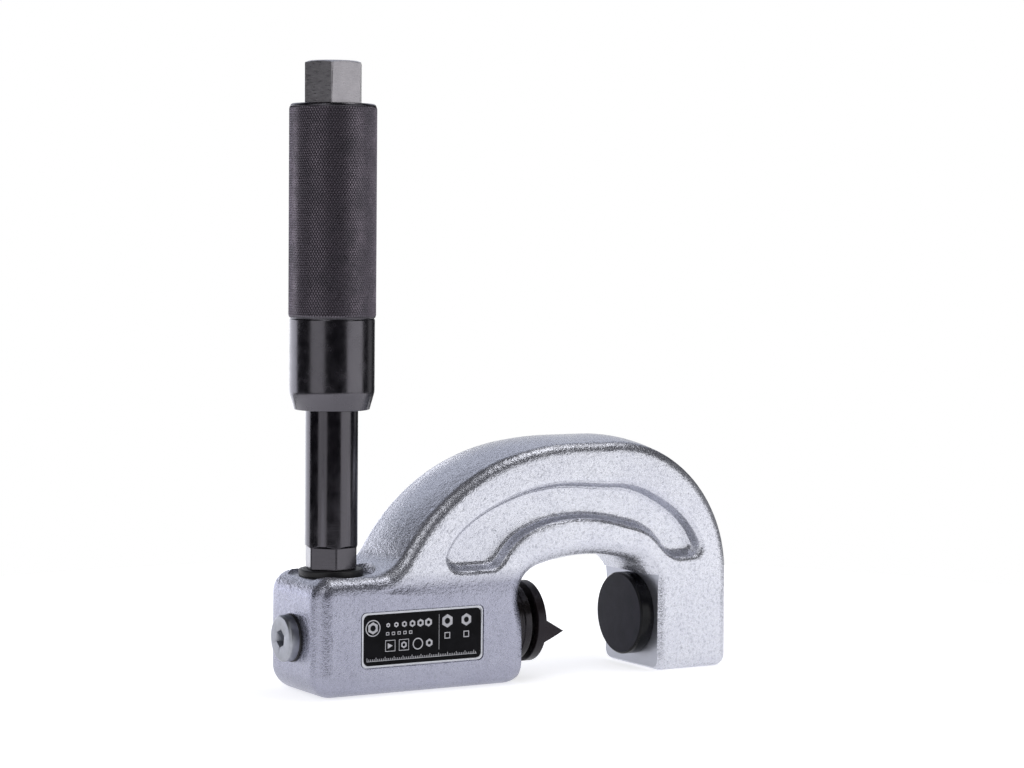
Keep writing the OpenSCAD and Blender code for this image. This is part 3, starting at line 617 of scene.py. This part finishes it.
WASHER_R, WASHER_H, WASHER_FOOT_ROUND, WASHER_TOP_ROUND = 16.0, 3.6, 0.8, 0.9
GLAND_FACE, GLAND_L, GLAND_SHANK, GLAND_HEAD, WIPER_R, MOUTH = 105.2, 25.0, 2.0, 14.0, 15.5, 0.5
GLAND_GROOVE, GROOVE_DEPTH, GROOVE_SIDE, GLAND_CHAMFER, GLAND_BREAK = (18.6, 20.6), 0.5, 0.4, 0.8, 0.3
CHISEL_R, CHISEL_BACK, CHISEL_FLANGE, CHISEL_ROLL, CHISEL_ROUND = 20.75, 107.7, 4.8, 10.0, 0.5
EDGE_H, EDGE_HALF = 10.0, 5.7735
PAD_R, PAD_H, PAD_CHAMFER, PAD_BREAK = 21.5, 8.1, 0.8, 0.4
PLUG_R, PLUG_H, PLUG_CHAMFER, PLUG_SHANK, PLUG_ROUND, SHANK_ROOM = 11.5, 5.0, (1.0, 0.9), 4.0, 0.4, 0.1
PLUG_HEX, PLUG_HEX_TURN, PLUG_HEX_FLOOR, PLUG_SEAL_R, PLUG_SEAL_H = 8.0, 8.0, 1.0, 11.9, 1.2


def dress(obj, finish, slot, body, *nodes):
    if finish:
        obj.data.materials.clear()
        obj.data.materials.append(finish)
    if nodes:
        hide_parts(*nodes)
    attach(obj, body)


def flat_radius(a, flats, turn, round_r):
    """Distance from the axis to a hexagon with rounded corners, in the direction a."""
    step = math.radians(60)
    d = (a - math.radians(turn) + step / 2) % step - step / 2
    return min(flats / 2 / math.cos(d), round_r)


def grip_mesh():
    """The knurled grip with its collar as one skin; its knurl is a lattice of small pyramids."""
    around = KNURL_COUNT * CELL
    low, high = KNURL_LOW + KNURL_AFTER, GRIP_TOP - KNURL_BEFORE
    rows = int(round((high - low) / KNURL_PITCH)) * CELL
    theta = np.arange(around) * 2 * math.pi / around
    turns = np.arange(around) / CELL
    root, groove = KNURL_R - KNURL_DEPTH, COLLAR_R - COLLAR_GROOVE
    knurl = []
    for k, z in enumerate(np.linspace(low, high, rows + 1)):
        up = k / CELL
        a = np.abs((turns + up) % 1 - 0.5) * 2
        b = np.abs((turns - up) % 1 - 0.5) * 2
        height = np.minimum(1, KNURL_STEEP * (1 - np.maximum(a, b)))
        fade = min(1, k / 2, (rows - k) / 2)
        knurl.append((root + KNURL_DEPTH * height * fade, z))
    below = rounded_profile([
        (SLEEVE_IN_R, COLLAR_LOW + SLEEVE_IN_DEPTH), (SLEEVE_IN_R, COLLAR_LOW),
        (COLLAR_RIM_R, COLLAR_LOW, 0.5), (COLLAR_R, COLLAR_TAPER, 1.2), (COLLAR_R, KNURL_LOW - 0.6, 0.5),
        (groove, KNURL_LOW - 0.1, 0.2), (groove, KNURL_LOW + 0.2, 0.2), (root, KNURL_LOW + 0.4)
    ], 0.4)
    above = rounded_profile([
        (root, GRIP_TOP - 1.1), (KNURL_R - 0.5, GRIP_TOP - 0.7), (KNURL_R - 1.3, GRIP_TOP),
        (GRIP_MOUTH_R, GRIP_TOP, 0.2), (GRIP_MOUTH_R - 0.1, GRIP_TOP - 0.6, 0.2),
        (GRIP_MOUTH_R - 0.5, GRIP_TOP - 0.6)
    ], 0.3)
    rings = [(np.full(around, r), z) for r, z in below] + knurl + [(np.full(around, r), z) for r, z in above]
    skin = [np.stack([r * np.cos(theta), r * np.sin(theta), np.full(around, z)], -1) for r, z in rings]
    faces = grid_faces(len(rings), around)
    grip = new_object("grip", np.concatenate(skin) * MM, faces)
    knurled = [len(below) - 1 <= f // around < len(below) + len(knurl) for f in range(len(faces))]
    grip.data.materials.append(FINISH["collar"])
    grip.data.materials.append(FINISH["knurl"])
    grip.data.polygons.foreach_set("material_index", [int(v) for v in knurled])
    grip.data.polygons.foreach_set("use_smooth", [not v for v in knurled])
    grip.data.update()
    return grip


def tube_mesh():
    """The pump tube; wrench flats at its foot run out in a small chamfer."""
    # From the shank's end to the mouth, close together where the flats run out
    heights = [TUBE_SEAT - TUBE_SHANK, TUBE_SEAT, TUBE_SEAT, TUBE_SEAT + 0.4]
    heights += [*np.linspace(FLATS_TOP - 1.6, FLATS_TOP, 9), FLATS_TOP + 0.3, TUBE_TOP - 1, TUBE_TOP]
    edge_breaks = {2: 0.3, len(heights) - 1: 0.8}
    verts = []
    for i, z in enumerate(heights):
        flats = TUBE_FLATS + FLATS_SLOPE * max(0, z - FLATS_TOP + FLATS_FADE)
        for k in range(TUBE_AROUND):
            a = 2 * math.pi * k / TUBE_AROUND
            r = flat_radius(a, flats, FLATS_TURN, TUBE_R) - edge_breaks.get(i, 0)
            if i < 2:
                r = TUBE_THREAD_R
            verts.append((r * math.cos(a) * MM, r * math.sin(a) * MM, z * MM))
    tube = new_object("tube", verts, grid_faces(len(heights), TUBE_AROUND))
    finish_mesh(tube, angle=12)
    return tube


def bevelled(obj, width, segments=3, angle=35):
    """Breaks edges sharper than the angle, by a width in millimetres."""
    mod = obj.modifiers.new("edges", "BEVEL")
    mod.width = width * MM
    mod.segments = segments
    mod.limit_method = "ANGLE"
    mod.angle_limit = math.radians(angle)
    mod.harden_normals = True
    bpy.context.view_layer.update()
    apply_modifiers(obj)
    finish_mesh(obj, angle=30)


def hexagon_prism(name, flats, z0, z1, place=UPRIGHT, turn=0.0):
    r = flats / math.sqrt(3)
    angles = [math.radians(60 * k + turn) for k in range(6)]
    corners = [(r * math.cos(a), r * math.sin(a)) for a in angles]
    return prism(name, [[place @ Vector((x, y, z)) for x, y in corners] for z in (z0, z1)])


def drive_hex():
    """The drive hexagon: flats with small edge breaks, under a turned conical crown."""
    top = GRIP_TOP + HEX_H
    crown_r = HEX_FLATS / math.sqrt(3) - HEX_CROWN_WIDTH
    body = hexagon_prism("drive_hex", HEX_FLATS, GRIP_TOP - HEX_FOOT, top)
    width = HEX_CROWN_WIDTH + CUT_PAST
    drop = HEX_CROWN / HEX_CROWN_WIDTH * width
    over = top + 2 * HAIR
    cone = [
        (crown_r, top), (crown_r + width, top - drop), (crown_r + width, top + CUT_PAST),
        (0, top + CUT_PAST), (0, over), (crown_r - 10 * HAIR, over)
    ]
    cut(body, lathe("cutter", cone, segments=144))
    bevelled(body, 0.25)
    even_faces(body)
    return body


def chisel_mesh():
    """A straight wedge on a round flange, both cut from one round blank."""
    tip = CHISEL_FLANGE + EDGE_H
    end, reach, past = tip + 1, CHISEL_R + 2, tip + 3
    profile = rounded_profile([(0, 0), (CHISEL_R, 0), (CHISEL_R, end, 0), (0, end)], CHISEL_ROUND)
    chisel = lathe("chisel", profile, along_ram(CHISEL_BACK), 192, closed=False)
    outline = [
        (-reach, CHISEL_FLANGE), (-EDGE_HALF, CHISEL_FLANGE), (0, tip), (EDGE_HALF, CHISEL_FLANGE),
        (reach, CHISEL_FLANGE), (reach, past), (-reach, past)
    ]
    place = along_ram(CHISEL_BACK) @ Matrix.Rotation(math.radians(CHISEL_ROLL), 4, "Z")
    cut(chisel, prism("cutter", [[place @ Vector((x, y, z)) for x, z in outline] for y in (-reach, reach)]))
    bevelled(chisel, 0.25)
    even_faces(chisel)
    return chisel


def plug_mesh():
    """The port plug: a round head with a hexagonal socket, on the start of its shank."""
    place = along_ram(-BLOCK_LEFT - PLUG_SEAL_H)
    shank = PORT_R - SHANK_ROOM
    chamfer, chamfer_h = PLUG_CHAMFER
    head = rounded_profile([
        (0, -PLUG_H), (PLUG_R - chamfer, -PLUG_H), (PLUG_R, chamfer_h - PLUG_H), (PLUG_R, 0, 0.2),
        (shank, 0, 0), (shank, PLUG_SHANK)
    ], PLUG_ROUND)
    plug = lathe("plug", head + [(0, PLUG_SHANK)], place, closed=False)
    cut(plug, hexagon_prism("cutter", PLUG_HEX, -PLUG_H - 1, -PLUG_HEX_FLOOR, place, PLUG_HEX_TURN))
    bevelled(plug, 0.18, segments=2, angle=50)
    return plug


def make_head():
    """The turned disc under the hexagon, just inside the grip's mouth."""
    top, foot = GRIP_TOP - HEAD_SUNK, GRIP_TOP - HEAD_FOOT
    profile = rounded_profile([(0, foot), (0, top), (HEAD_R - 0.1, top), (HEAD_R, foot), (0, foot)], 0.3)
    dress(lathe("drive_head", profile, closed=False), FINISH["collar"], "hex_steel", "handle")


def make_washer():
    """The soft ring under the tube, in its spot face."""
    top = SPOT_Z + WASHER_H
    profile = rounded_profile([
        (TUBE_THREAD_R, SPOT_Z), (WASHER_R, SPOT_Z), (WASHER_R, top, WASHER_TOP_ROUND), (TUBE_THREAD_R, top)
    ], WASHER_FOOT_ROUND)
    dress(lathe("tube_washer", profile), FINISH["rubber"], "seal_black", "housing", "tube_washer")


def make_gland():
    """The gland nut: a shank in the bore, and a head with a shallow groove round it."""
    shank, groove = BORE_R - SHANK_ROOM / 2, GLAND_R - GROOVE_DEPTH
    start, stop = GLAND_GROOVE
    profile = rounded_profile([
        (WIPER_R, GLAND_SHANK), (shank, GLAND_SHANK), (shank, GLAND_HEAD, 0), (GLAND_R, GLAND_HEAD),
        (GLAND_R, start), (groove, start + GROOVE_SIDE), (groove, stop - GROOVE_SIDE), (GLAND_R, stop),
        (GLAND_R, GLAND_L - GLAND_CHAMFER, 0.5), (GLAND_R - GLAND_CHAMFER, GLAND_L),
        (WIPER_R + MOUTH, GLAND_L), (WIPER_R, GLAND_L - MOUTH)
    ], GLAND_BREAK)
    gland = lathe("gland", profile, along_ram(GLAND_FACE - GLAND_L), 192)
    dress(gland, FINISH["gland"], "black_oxide", "housing", "gland_nut")


def make_pad():
    """The anvil pad, with a ground face and darker sides."""
    profile = rounded_profile([
        (0, 0), (PAD_R - PAD_CHAMFER, 0), (PAD_R, PAD_CHAMFER), (PAD_R, PAD_H - PAD_BREAK, 0.2),
        (PAD_R - PAD_BREAK, PAD_H, 0.1), (0, PAD_H)
    ], 0.3)
    pad = lathe("anvil_pad", profile, along_ram(JAW_SEAT - PAD_H), 192, closed=False)
    dress(pad, FINISH["pad_side"], "hardened_black", "housing", "anvil_pad")
    pad.data.materials.append(FINISH["pad_face"])
    for poly in pad.data.polygons:
        poly.material_index = int(poly.normal.x < -FACING)


def make_plug_seal():
    """The sealing ring between the plug's head and the block."""
    profile = rounded_profile([
        (PORT_R, 0), (PLUG_SEAL_R, 0), (PLUG_SEAL_R, PLUG_SEAL_H), (PORT_R, PLUG_SEAL_H)
    ], PLUG_ROUND)
    seal = lathe("plug_seal", profile, along_ram(-BLOCK_LEFT - PLUG_SEAL_H))
    dress(seal, FINISH["rubber"], "seal_black", "housing", "port_plug_seal")


def make_spring():
    """The return spring, which the ram presses together against the gland."""
    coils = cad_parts["return_spring"]
    spring = bpy.data.objects.new("spring", coils.data.copy())
    spring.matrix_world = coils.matrix_world
    bpy.context.scene.collection.objects.link(spring)
    dress(spring, FINISH["spring"], "spring_steel", "housing", "return_spring")
    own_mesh(spring)


# Nameplate: a bare border, a black field and plain signs, placed in millimetres from its lower left corner
PLATE_RIM, FIELD_CORNER, PLATE_THICK, PLATE_SUNK = 1.0, 3.8, 1.0, 0.2
FIELD_CUT, FIELD_AT, FIELD_BACK, PRINT_AT, PRINT_THICK = 0.2, 0.12, 0.3, 0.09, 0.03
RINGS = [(6.2, 19.4, 4.1, 0.5), (31.2, 10.2, 2.9, 0.55)]  # x, z, radius, line
NUTS = [(6.2, 19.4, 2.6, 1.5), (47.8, 20.4, 2.9, 1.5), (58.6, 20.4, 2.7, 1.4),
        (23.4, 10.2, 1.5, 0.8), (37.6, 10.2, 1.8, 0.9)]  # x, z, half width, hole
BOXES = [(46.2, 11.6, 3.2, 0.45), (57.0, 11.6, 3.2, 0.45),
         (13.0, 7.4, 5.6, 0.3), (20.6, 7.4, 5.6, 0.3)]  # left, low, width, line
ARROW = [(14.4, 8.8), (17.2, 10.2), (14.4, 11.6)]
DIVIDER = (43.0, 6.5, 0.2, 17.5)  # left, low, width, height
NUT_ROW, BOX_ROW = (14.6, 20.4, 4.5, 6), (13.4, 15.4, 3.2, 5)  # x and z of the first, pitch, count
NUT_GROWTH = ((1.0, 0.18), (0.45, 0.09))  # half width and hole: of the first nut, and more for each next
ROW_BOX = (1.8, 1.6, 0.35)  # width, height, line
SCALE_AT, SCALE_L, SCALE_LINE, TICKS, TICK_WIDTH = (2.8, 3.0), 61.8, 0.25, 62, 0.3
TICK_FOOT, TICK_SHORT, TICK_LONG, LONG_EVERY = 0.2, 1.0, 1.7, 5
LOOP_ANGLES = [2 * math.pi * k / 48 for k in range(48)]


def flat_shape(name, loops, y):
    """Thin raised print on the plate: rings between an outer and an inner loop, or filled loops."""
    left, low = PLATE[:2]
    verts, faces = [], []
    for outer, inner in loops:
        base, n = len(verts), len(outer)
        for depth in (y, y + PRINT_THICK):
            for x, z in outer + (inner or []):
                verts.append(Vector((left + x, depth, low + z)) * MM)
        back = 2 * n if inner else n
        if not inner:
            faces.append(tuple(base + k for k in range(n)))
        for k in range(n):
            m = (k + 1) % n
            faces.append((base + k, base + m, base + back + m, base + back + k))
            if inner:
                faces.append((base + k, base + n + k, base + n + m, base + m))
                faces.append((base + n + k, base + 3 * n + k, base + 3 * n + m, base + n + m))
    return new_object(name, verts, faces, merge=WELD)


def circle_loop(cx, cz, r):
    return [(cx + r * math.cos(a), cz + r * math.sin(a)) for a in LOOP_ANGLES]


def ring_sign(cx, cz, r, line):
    return circle_loop(cx, cz, r), circle_loop(cx, cz, r - line)


def nut_sign(cx, cz, half, hole):
    """A nut seen from above: a hexagon with a round hole."""
    outer = []
    for a in LOOP_ANGLES:
        d = (a + math.pi / 6) % (math.pi / 3) - math.pi / 6
        r = half / math.cos(d)
        outer.append((cx + r * math.cos(a), cz + r * math.sin(a)))
    return outer, circle_loop(cx, cz, hole)


def box_loop(x, z, width, height):
    return [(x, z), (x + width, z), (x + width, z + height), (x, z + height)]


def bar(*box):
    return box_loop(*box), None


def box_sign(x, z, width, height, line):
    return box_loop(x, z, width, height), box_loop(x + line, z + line, width - 2 * line, height - 2 * line)


def plate_signs():
    """The badge, single signs, two rows of signs and a graduated line."""
    loops = [ring_sign(*ring) for ring in RINGS] + [nut_sign(*nut) for nut in NUTS]
    loops += [box_sign(x, z, width, width, line) for x, z, width, line in BOXES]
    loops += [(ARROW, None), bar(*DIVIDER)]
    x, z, pitch, count = NUT_ROW
    for k in range(count):
        half, hole = (first + more * k for first, more in NUT_GROWTH)
        loops.append(nut_sign(x + pitch * k, z, half, hole))
    x, z, pitch, count = BOX_ROW
    loops += [box_sign(x + pitch * k, z, *ROW_BOX) for k in range(count)]
    x, z = SCALE_AT
    loops.append(bar(x, z, SCALE_L, SCALE_LINE))
    for k in range(TICKS):
        tick = TICK_SHORT if k % LONG_EVERY else TICK_LONG
        loops.append(bar(x + k, z + TICK_FOOT, TICK_WIDTH, tick))
    return loops


def make_plate():
    """The nameplate's rim with a sunk field, and the signs raised on it."""
    face_y = -THICK / 2 + PLATE_SUNK
    rim = prism_y("plate", plate_loop(0), face_y, face_y + PLATE_THICK)
    inner = plate_loop(-PLATE_RIM, FIELD_CORNER)
    cut(rim, prism_y("cutter", inner, face_y - 1, face_y + FIELD_CUT))
    bevelled(rim, 0.12, segments=2, angle=40)
    dress(rim, FINISH["plate_rim"], "plate", "housing", "name_plate")
    field = prism_y("plate_field", inner, face_y + FIELD_AT, face_y + FIELD_BACK)
    dress(field, FINISH["plate_field"], "plate", "housing")
    printed = flat_shape("plate_print", plate_signs(), face_y + PRINT_AT)
    dress(printed, FINISH["print"], "plate", "housing")


FINISH = {
    "cast": cast_silver(),
    "machined": machined_silver(),
    "tube": turned("black_oxide", (0.0025, 0.0022, 0.003), (0.006, 0.005, 0.007),
                   (0.14, 0.24), ALONG_Z, ior=1.8),
    "collar": turned("black_oxide_collar", (0.003, 0.0027, 0.0035), (0.009, 0.008, 0.010),
                     (0.18, 0.30), ALONG_Z, ior=1.95),
    "knurl": knurl_black(),
    "gland": turned("black_oxide_gland", (0.005, 0.004, 0.004), (0.012, 0.010, 0.009),
                    (0.18, 0.32), ALONG_X, ior=1.4),
    "chisel": grained("hardened_brown", (0.006, 0.004, 0.005), (0.014, 0.010, 0.011),
                      (0.24, 0.40), 0.0006, 0.00002, ior=1.35),
    "pad_face": grained("hardened_black", (0.010, 0.010, 0.017), (0.018, 0.017, 0.028),
                        (0.45, 0.60), 0.0007, 0.00003, ior=1.25),
    "pad_side": turned("hardened_black_side", (0.004, 0.004, 0.005), (0.009, 0.009, 0.011),
                       (0.16, 0.28), ALONG_X, ior=1.25),
    "hex": brushed("hex_steel", (0.27, 0.26, 0.28), (0.50, 0.48, 0.51), (0.24, 0.38), (0.12, 0.12, 1)),
    "plug": turned("plug_steel", (0.27, 0.28, 0.31), (0.42, 0.43, 0.47),
                   (0.34, 0.48), ALONG_X, metallic=1.0, depth=0.00003),
    "rubber": grained("seal_black", (0.005, 0.005, 0.006), (0.012, 0.011, 0.013),
                      (0.40, 0.60), 0.0005, 0.00003),
    "plate_rim": brushed("plate", (0.44, 0.45, 0.49), (0.62, 0.63, 0.67), (0.28, 0.40), (0.08, 1, 1)),
    "plate_field": grained("plate_black", (0.003, 0.003, 0.004), (0.008, 0.008, 0.010),
                           (0.30, 0.44), 0.0005, 0.000008, ior=1.15),
    "print": grained("plate_print", (0.55, 0.55, 0.58), (0.70, 0.70, 0.72), (0.45, 0.6), 0.0004, 0.000005),
    "bronze": turned("bronze", (0.33, 0.20, 0.09), (0.48, 0.31, 0.15), (0.26, 0.40), ALONG_X, metallic=1.0),
    "spring": turned("spring_steel", (0.34, 0.34, 0.35), (0.52, 0.52, 0.54),
                     (0.26, 0.40), ALONG_X, metallic=1.0),
    "ground": turned("ground_steel", (0.50, 0.50, 0.52), (0.66, 0.66, 0.68),
                     (0.14, 0.24), ALONG_X, metallic=1.0),
    "resin": grained("guide_resin", (0.16, 0.09, 0.05), (0.24, 0.14, 0.08), (0.40, 0.55), 0.0006, 0.00002),
    "white": grained("backup_white", (0.72, 0.71, 0.68), (0.82, 0.81, 0.78), (0.35, 0.50), 0.0006, 0.00002),
}
for name in ("tube", "collar", "knurl", "gland", "chisel"):
    FINISH[name].node_tree.nodes["Principled BSDF"].inputs["Specular Tint"].default_value = OXIDE_SHEEN

# The casting's cut faces are smoother than its skin
NEAR, FACING = 0.05, 0.9  # millimetres from a face's plane, and how squarely it has to face out
casting.data.materials.append(FINISH["cast"])
casting.data.materials.append(FINISH["machined"])
for poly in casting.data.polygons:
    c, n = poly.center / MM, poly.normal
    right_face = abs(c.x - BLOCK_RIGHT) < NEAR and abs(n.x) > FACING
    seat_face = abs(c.x - JAW_SEAT) < NEAR and abs(n.x) > FACING
    spot_face = abs(c.z - SPOT_Z) < NEAR and n.z > FACING and math.hypot(c.x, c.y) < SPOT_R
    poly.material_index = int(right_face or seat_face or spot_face)

make_plate()
dress(grip_mesh(), None, "black_oxide_grip", "handle", "grip_sleeve")
dress(drive_hex(), FINISH["hex"], "hex_steel", "handle", "drive_screw")
make_head()
dress(tube_mesh(), FINISH["tube"], "black_oxide", "housing", "pump_tube")
make_washer()
make_gland()
dress(chisel_mesh(), FINISH["chisel"], "hardened_brown", "chisel", "chisel")
make_pad()
dress(plug_mesh(), FINISH["plug"], "plug_steel", "housing", "port_plug")
make_plug_seal()
make_spring()

# Carried-over pieces of the frame
CARRIED = {
    "rubber": ["gland_seal", "gland_wiper", "anvil_ring", "piston_seal", "plunger_seal", "grip_wiper"],
    "bronze": ["gland_bush", "grip_bush"],
    "spring": ["chisel_ring"],
    "ground": ["piston", "plunger", "thrust_ball", "grip_pin"],
    "resin": ["piston_guide"],
    "white": ["plunger_backup"],
}
for finish, names in CARRIED.items():
    for name in names:
        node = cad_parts[name]
        if not node.material_slots:
            node.data.materials.append(None)
        for slot in node.material_slots:
            slot.material = FINISH[finish]


# Stage: floor, light and camera
CAMERA_AT = Vector((-0.62345, -1.21768, 0.23069))
YAW, PITCH, ROLL = (math.radians(degrees) for degrees in (-30.82, 3.26, 0.5))
AHEAD = Vector((-math.sin(YAW), math.cos(YAW), 0))  # level, from the camera towards the object
RIGHT, UP = Vector((math.cos(YAW), math.sin(YAW), 0)), Vector((0, 0, 1))
FOCAL_PIXELS, FRAME_WIDTH, SENSOR = 2783.56, 1024, 36.0  # two in the picture's pixels, the last in millimetres
WHITE = 1.0
AIR_LIGHT = (0.34, 0.34, 0.37, 1)  # what the air gives to matt surfaces
AIR_SHEEN = (0.02, 0.02, 0.024, 1)  # what polished surfaces show between the lamps
REAR_FADE = (0.95, 0.99)  # cosines of the angle from straight behind where the white fades in
FLOOR_R, FLOOR_OWN_LIGHT, FLOOR_SIDES = 0.50, 0.62, 96
FLOOR_GLOW = (0.22, 0.42)  # metres from the floor's centre where its own light grows
FLOOR_CENTRE, FLOOR_COLOR, FLOOR_ROUGHNESS = (0.10, 0, 0), (0.80, 0.80, 0.81), 0.9
LAMPS_FACE = Vector((0.09, 0, 0.12))  # the place all lamps are turned towards
PURE, SKY, COOL = (1, 1, 1), (0.84, 0.88, 1.0), (0.92, 0.93, 1.0)
# Each lamp: name, azimuth, elevation, distance, width, height, power, colour
LAMPS = [
    ("left_box", -37, 6, 1.6, 1.1, 1.1, 3.8, PURE),
    ("right_box", 67, 3, 1.6, 1.5, 0.85, 5.6, PURE),
    ("back_left_box", -138, 0, 1.8, 2.5, 0.85, 13.5, COOL),
    ("back_right_box", 128, 6, 1.8, 0.7, 1.0, 0.7, PURE),
    ("sky_box", -165, 34, 1.7, 2.2, 0.9, 5.4, SKY),
    ("ridge_box", -23, 42, 1.5, 0.5, 0.5, 1.9, PURE),
    ("overhead_box", 95, 66, 1.5, 0.9, 0.6, 4.2, PURE),
]


def seen_or_mirrored(tree):
    """One for camera, glossy and transmission rays, so that metal shows the background too."""
    path = add_node(tree, "ShaderNodeLightPath")
    total = path.outputs["Is Camera Ray"]
    for ray in ("Is Glossy Ray", "Is Transmission Ray"):
        total = combine(tree, "ADD", total, path.outputs[ray], use_clamp=True)
    return path, total


def smooth_rise(tree, value, span, low=0.0, high=1.0):
    """Rises smoothly from low to high where the value passes through the span."""
    inputs = {"Value": value, "From Min": span[0], "From Max": span[1], "To Min": low, "To Max": high}
    return add_node(tree, "ShaderNodeMapRange", inputs, interpolation_type="SMOOTHSTEP").outputs["Result"]


def floor_material():
    """A pale floor with a little light of its own, which grows outwards until it meets the white air."""
    f = Finish("floor", FLOOR_COLOR, FLOOR_ROUGHNESS)
    f.shader.inputs["Specular IOR Level"].default_value = 0.0
    f.shader.inputs["Emission Color"].default_value = (1, 1, 1, 1)
    reach = f.node("ShaderNodeVectorMath", {0: f.coord, 1: FLOOR_CENTRE}, operation="DISTANCE")
    grow = smooth_rise(f.tree, reach.outputs["Value"], FLOOR_GLOW, FLOOR_OWN_LIGHT, WHITE)
    glow = combine(f.tree, "MULTIPLY", seen_or_mirrored(f.tree)[1], grow)
    f.tree.links.new(glow, f.shader.inputs["Emission Strength"])
    return f.mat


def soft_box(name, azimuth, elevation, distance, width, height, power, color):
    """An area light that faces the object; azimuth 0 stands at the camera's side, 90 to its right."""
    a, e = math.radians(azimuth), math.radians(elevation)
    way = (RIGHT * math.sin(a) - AHEAD * math.cos(a)) * math.cos(e) + UP * math.sin(e)
    data = bpy.data.lights.new(name, "AREA")
    data.shape = "RECTANGLE"
    data.size, data.size_y = width, height
    data.energy = power
    data.color = color
    lamp = bpy.data.objects.new(name, data)
    lamp.location = LAMPS_FACE + way * distance
    lamp.rotation_mode = "QUATERNION"
    lamp.rotation_quaternion = (-way).to_track_quat("-Z", "Y")
    bpy.context.scene.collection.objects.link(lamp)


def make_world():
    """Dark studio air; behind the object it is white for reflections, and white all round for the camera."""
    world = bpy.data.worlds.new("studio")
    bpy.context.scene.world = world
    world.use_nodes = True
    tree = world.node_tree
    sheen = tree.nodes["Background"]
    sheen.inputs["Color"].default_value = AIR_SHEEN
    light = add_node(tree, "ShaderNodeBackground", {"Color": AIR_LIGHT})
    white = add_node(tree, "ShaderNodeBackground", {"Color": (1, 1, 1, 1), "Strength": WHITE})
    way = add_node(tree, "ShaderNodeTexCoord").outputs["Generated"]
    behind = add_node(tree, "ShaderNodeVectorMath", {0: way, 1: AHEAD}, operation="DOT_PRODUCT")
    rear = smooth_rise(tree, behind.outputs["Value"], REAR_FADE)
    path, mirrored = seen_or_mirrored(tree)
    backdrop = combine(tree, "MULTIPLY", mirrored, rear)
    shown = combine(tree, "MAXIMUM", path.outputs["Is Camera Ray"], backdrop)
    matt = path.outputs["Is Diffuse Ray"]
    air = add_node(tree, "ShaderNodeMixShader", {0: matt, 1: sheen.outputs[0], 2: light.outputs[0]})
    mix = add_node(tree, "ShaderNodeMixShader", {0: shown, 1: air.outputs[0], 2: white.outputs[0]})
    tree.links.new(mix.outputs[0], tree.nodes["World Output"].inputs["Surface"])


def make_floor():
    """A round table top, centred under the object."""
    angles = np.linspace(0, 2 * math.pi, FLOOR_SIDES, endpoint=False)
    rim = [Vector((FLOOR_R * math.cos(a), FLOOR_R * math.sin(a), 0)) + Vector(FLOOR_CENTRE) for a in angles]
    floor = new_object("floor", rim, [tuple(range(len(rim)))])
    floor.data.materials.append(floor_material())


def make_camera():
    ahead = AHEAD * math.cos(PITCH) - UP * math.sin(PITCH)
    up = RIGHT.cross(ahead)
    side = RIGHT * math.cos(ROLL) + up * math.sin(ROLL)
    top = up * math.cos(ROLL) - RIGHT * math.sin(ROLL)
    data = bpy.data.cameras.new("camera")
    data.sensor_width = SENSOR
    data.lens = FOCAL_PIXELS / FRAME_WIDTH * SENSOR
    data.clip_start, data.clip_end = 0.05, 20
    camera = bpy.data.objects.new("camera", data)
    bpy.context.scene.collection.objects.link(camera)
    turn = Matrix((side, top, -ahead)).transposed().to_4x4()
    camera.matrix_world = Matrix.Translation(CAMERA_AT) @ turn
    bpy.context.scene.camera = camera


make_world()
make_floor()
make_camera()
for lamp in LAMPS:
    soft_box(*lamp)
bpy.context.scene.view_settings.view_transform = "Standard"
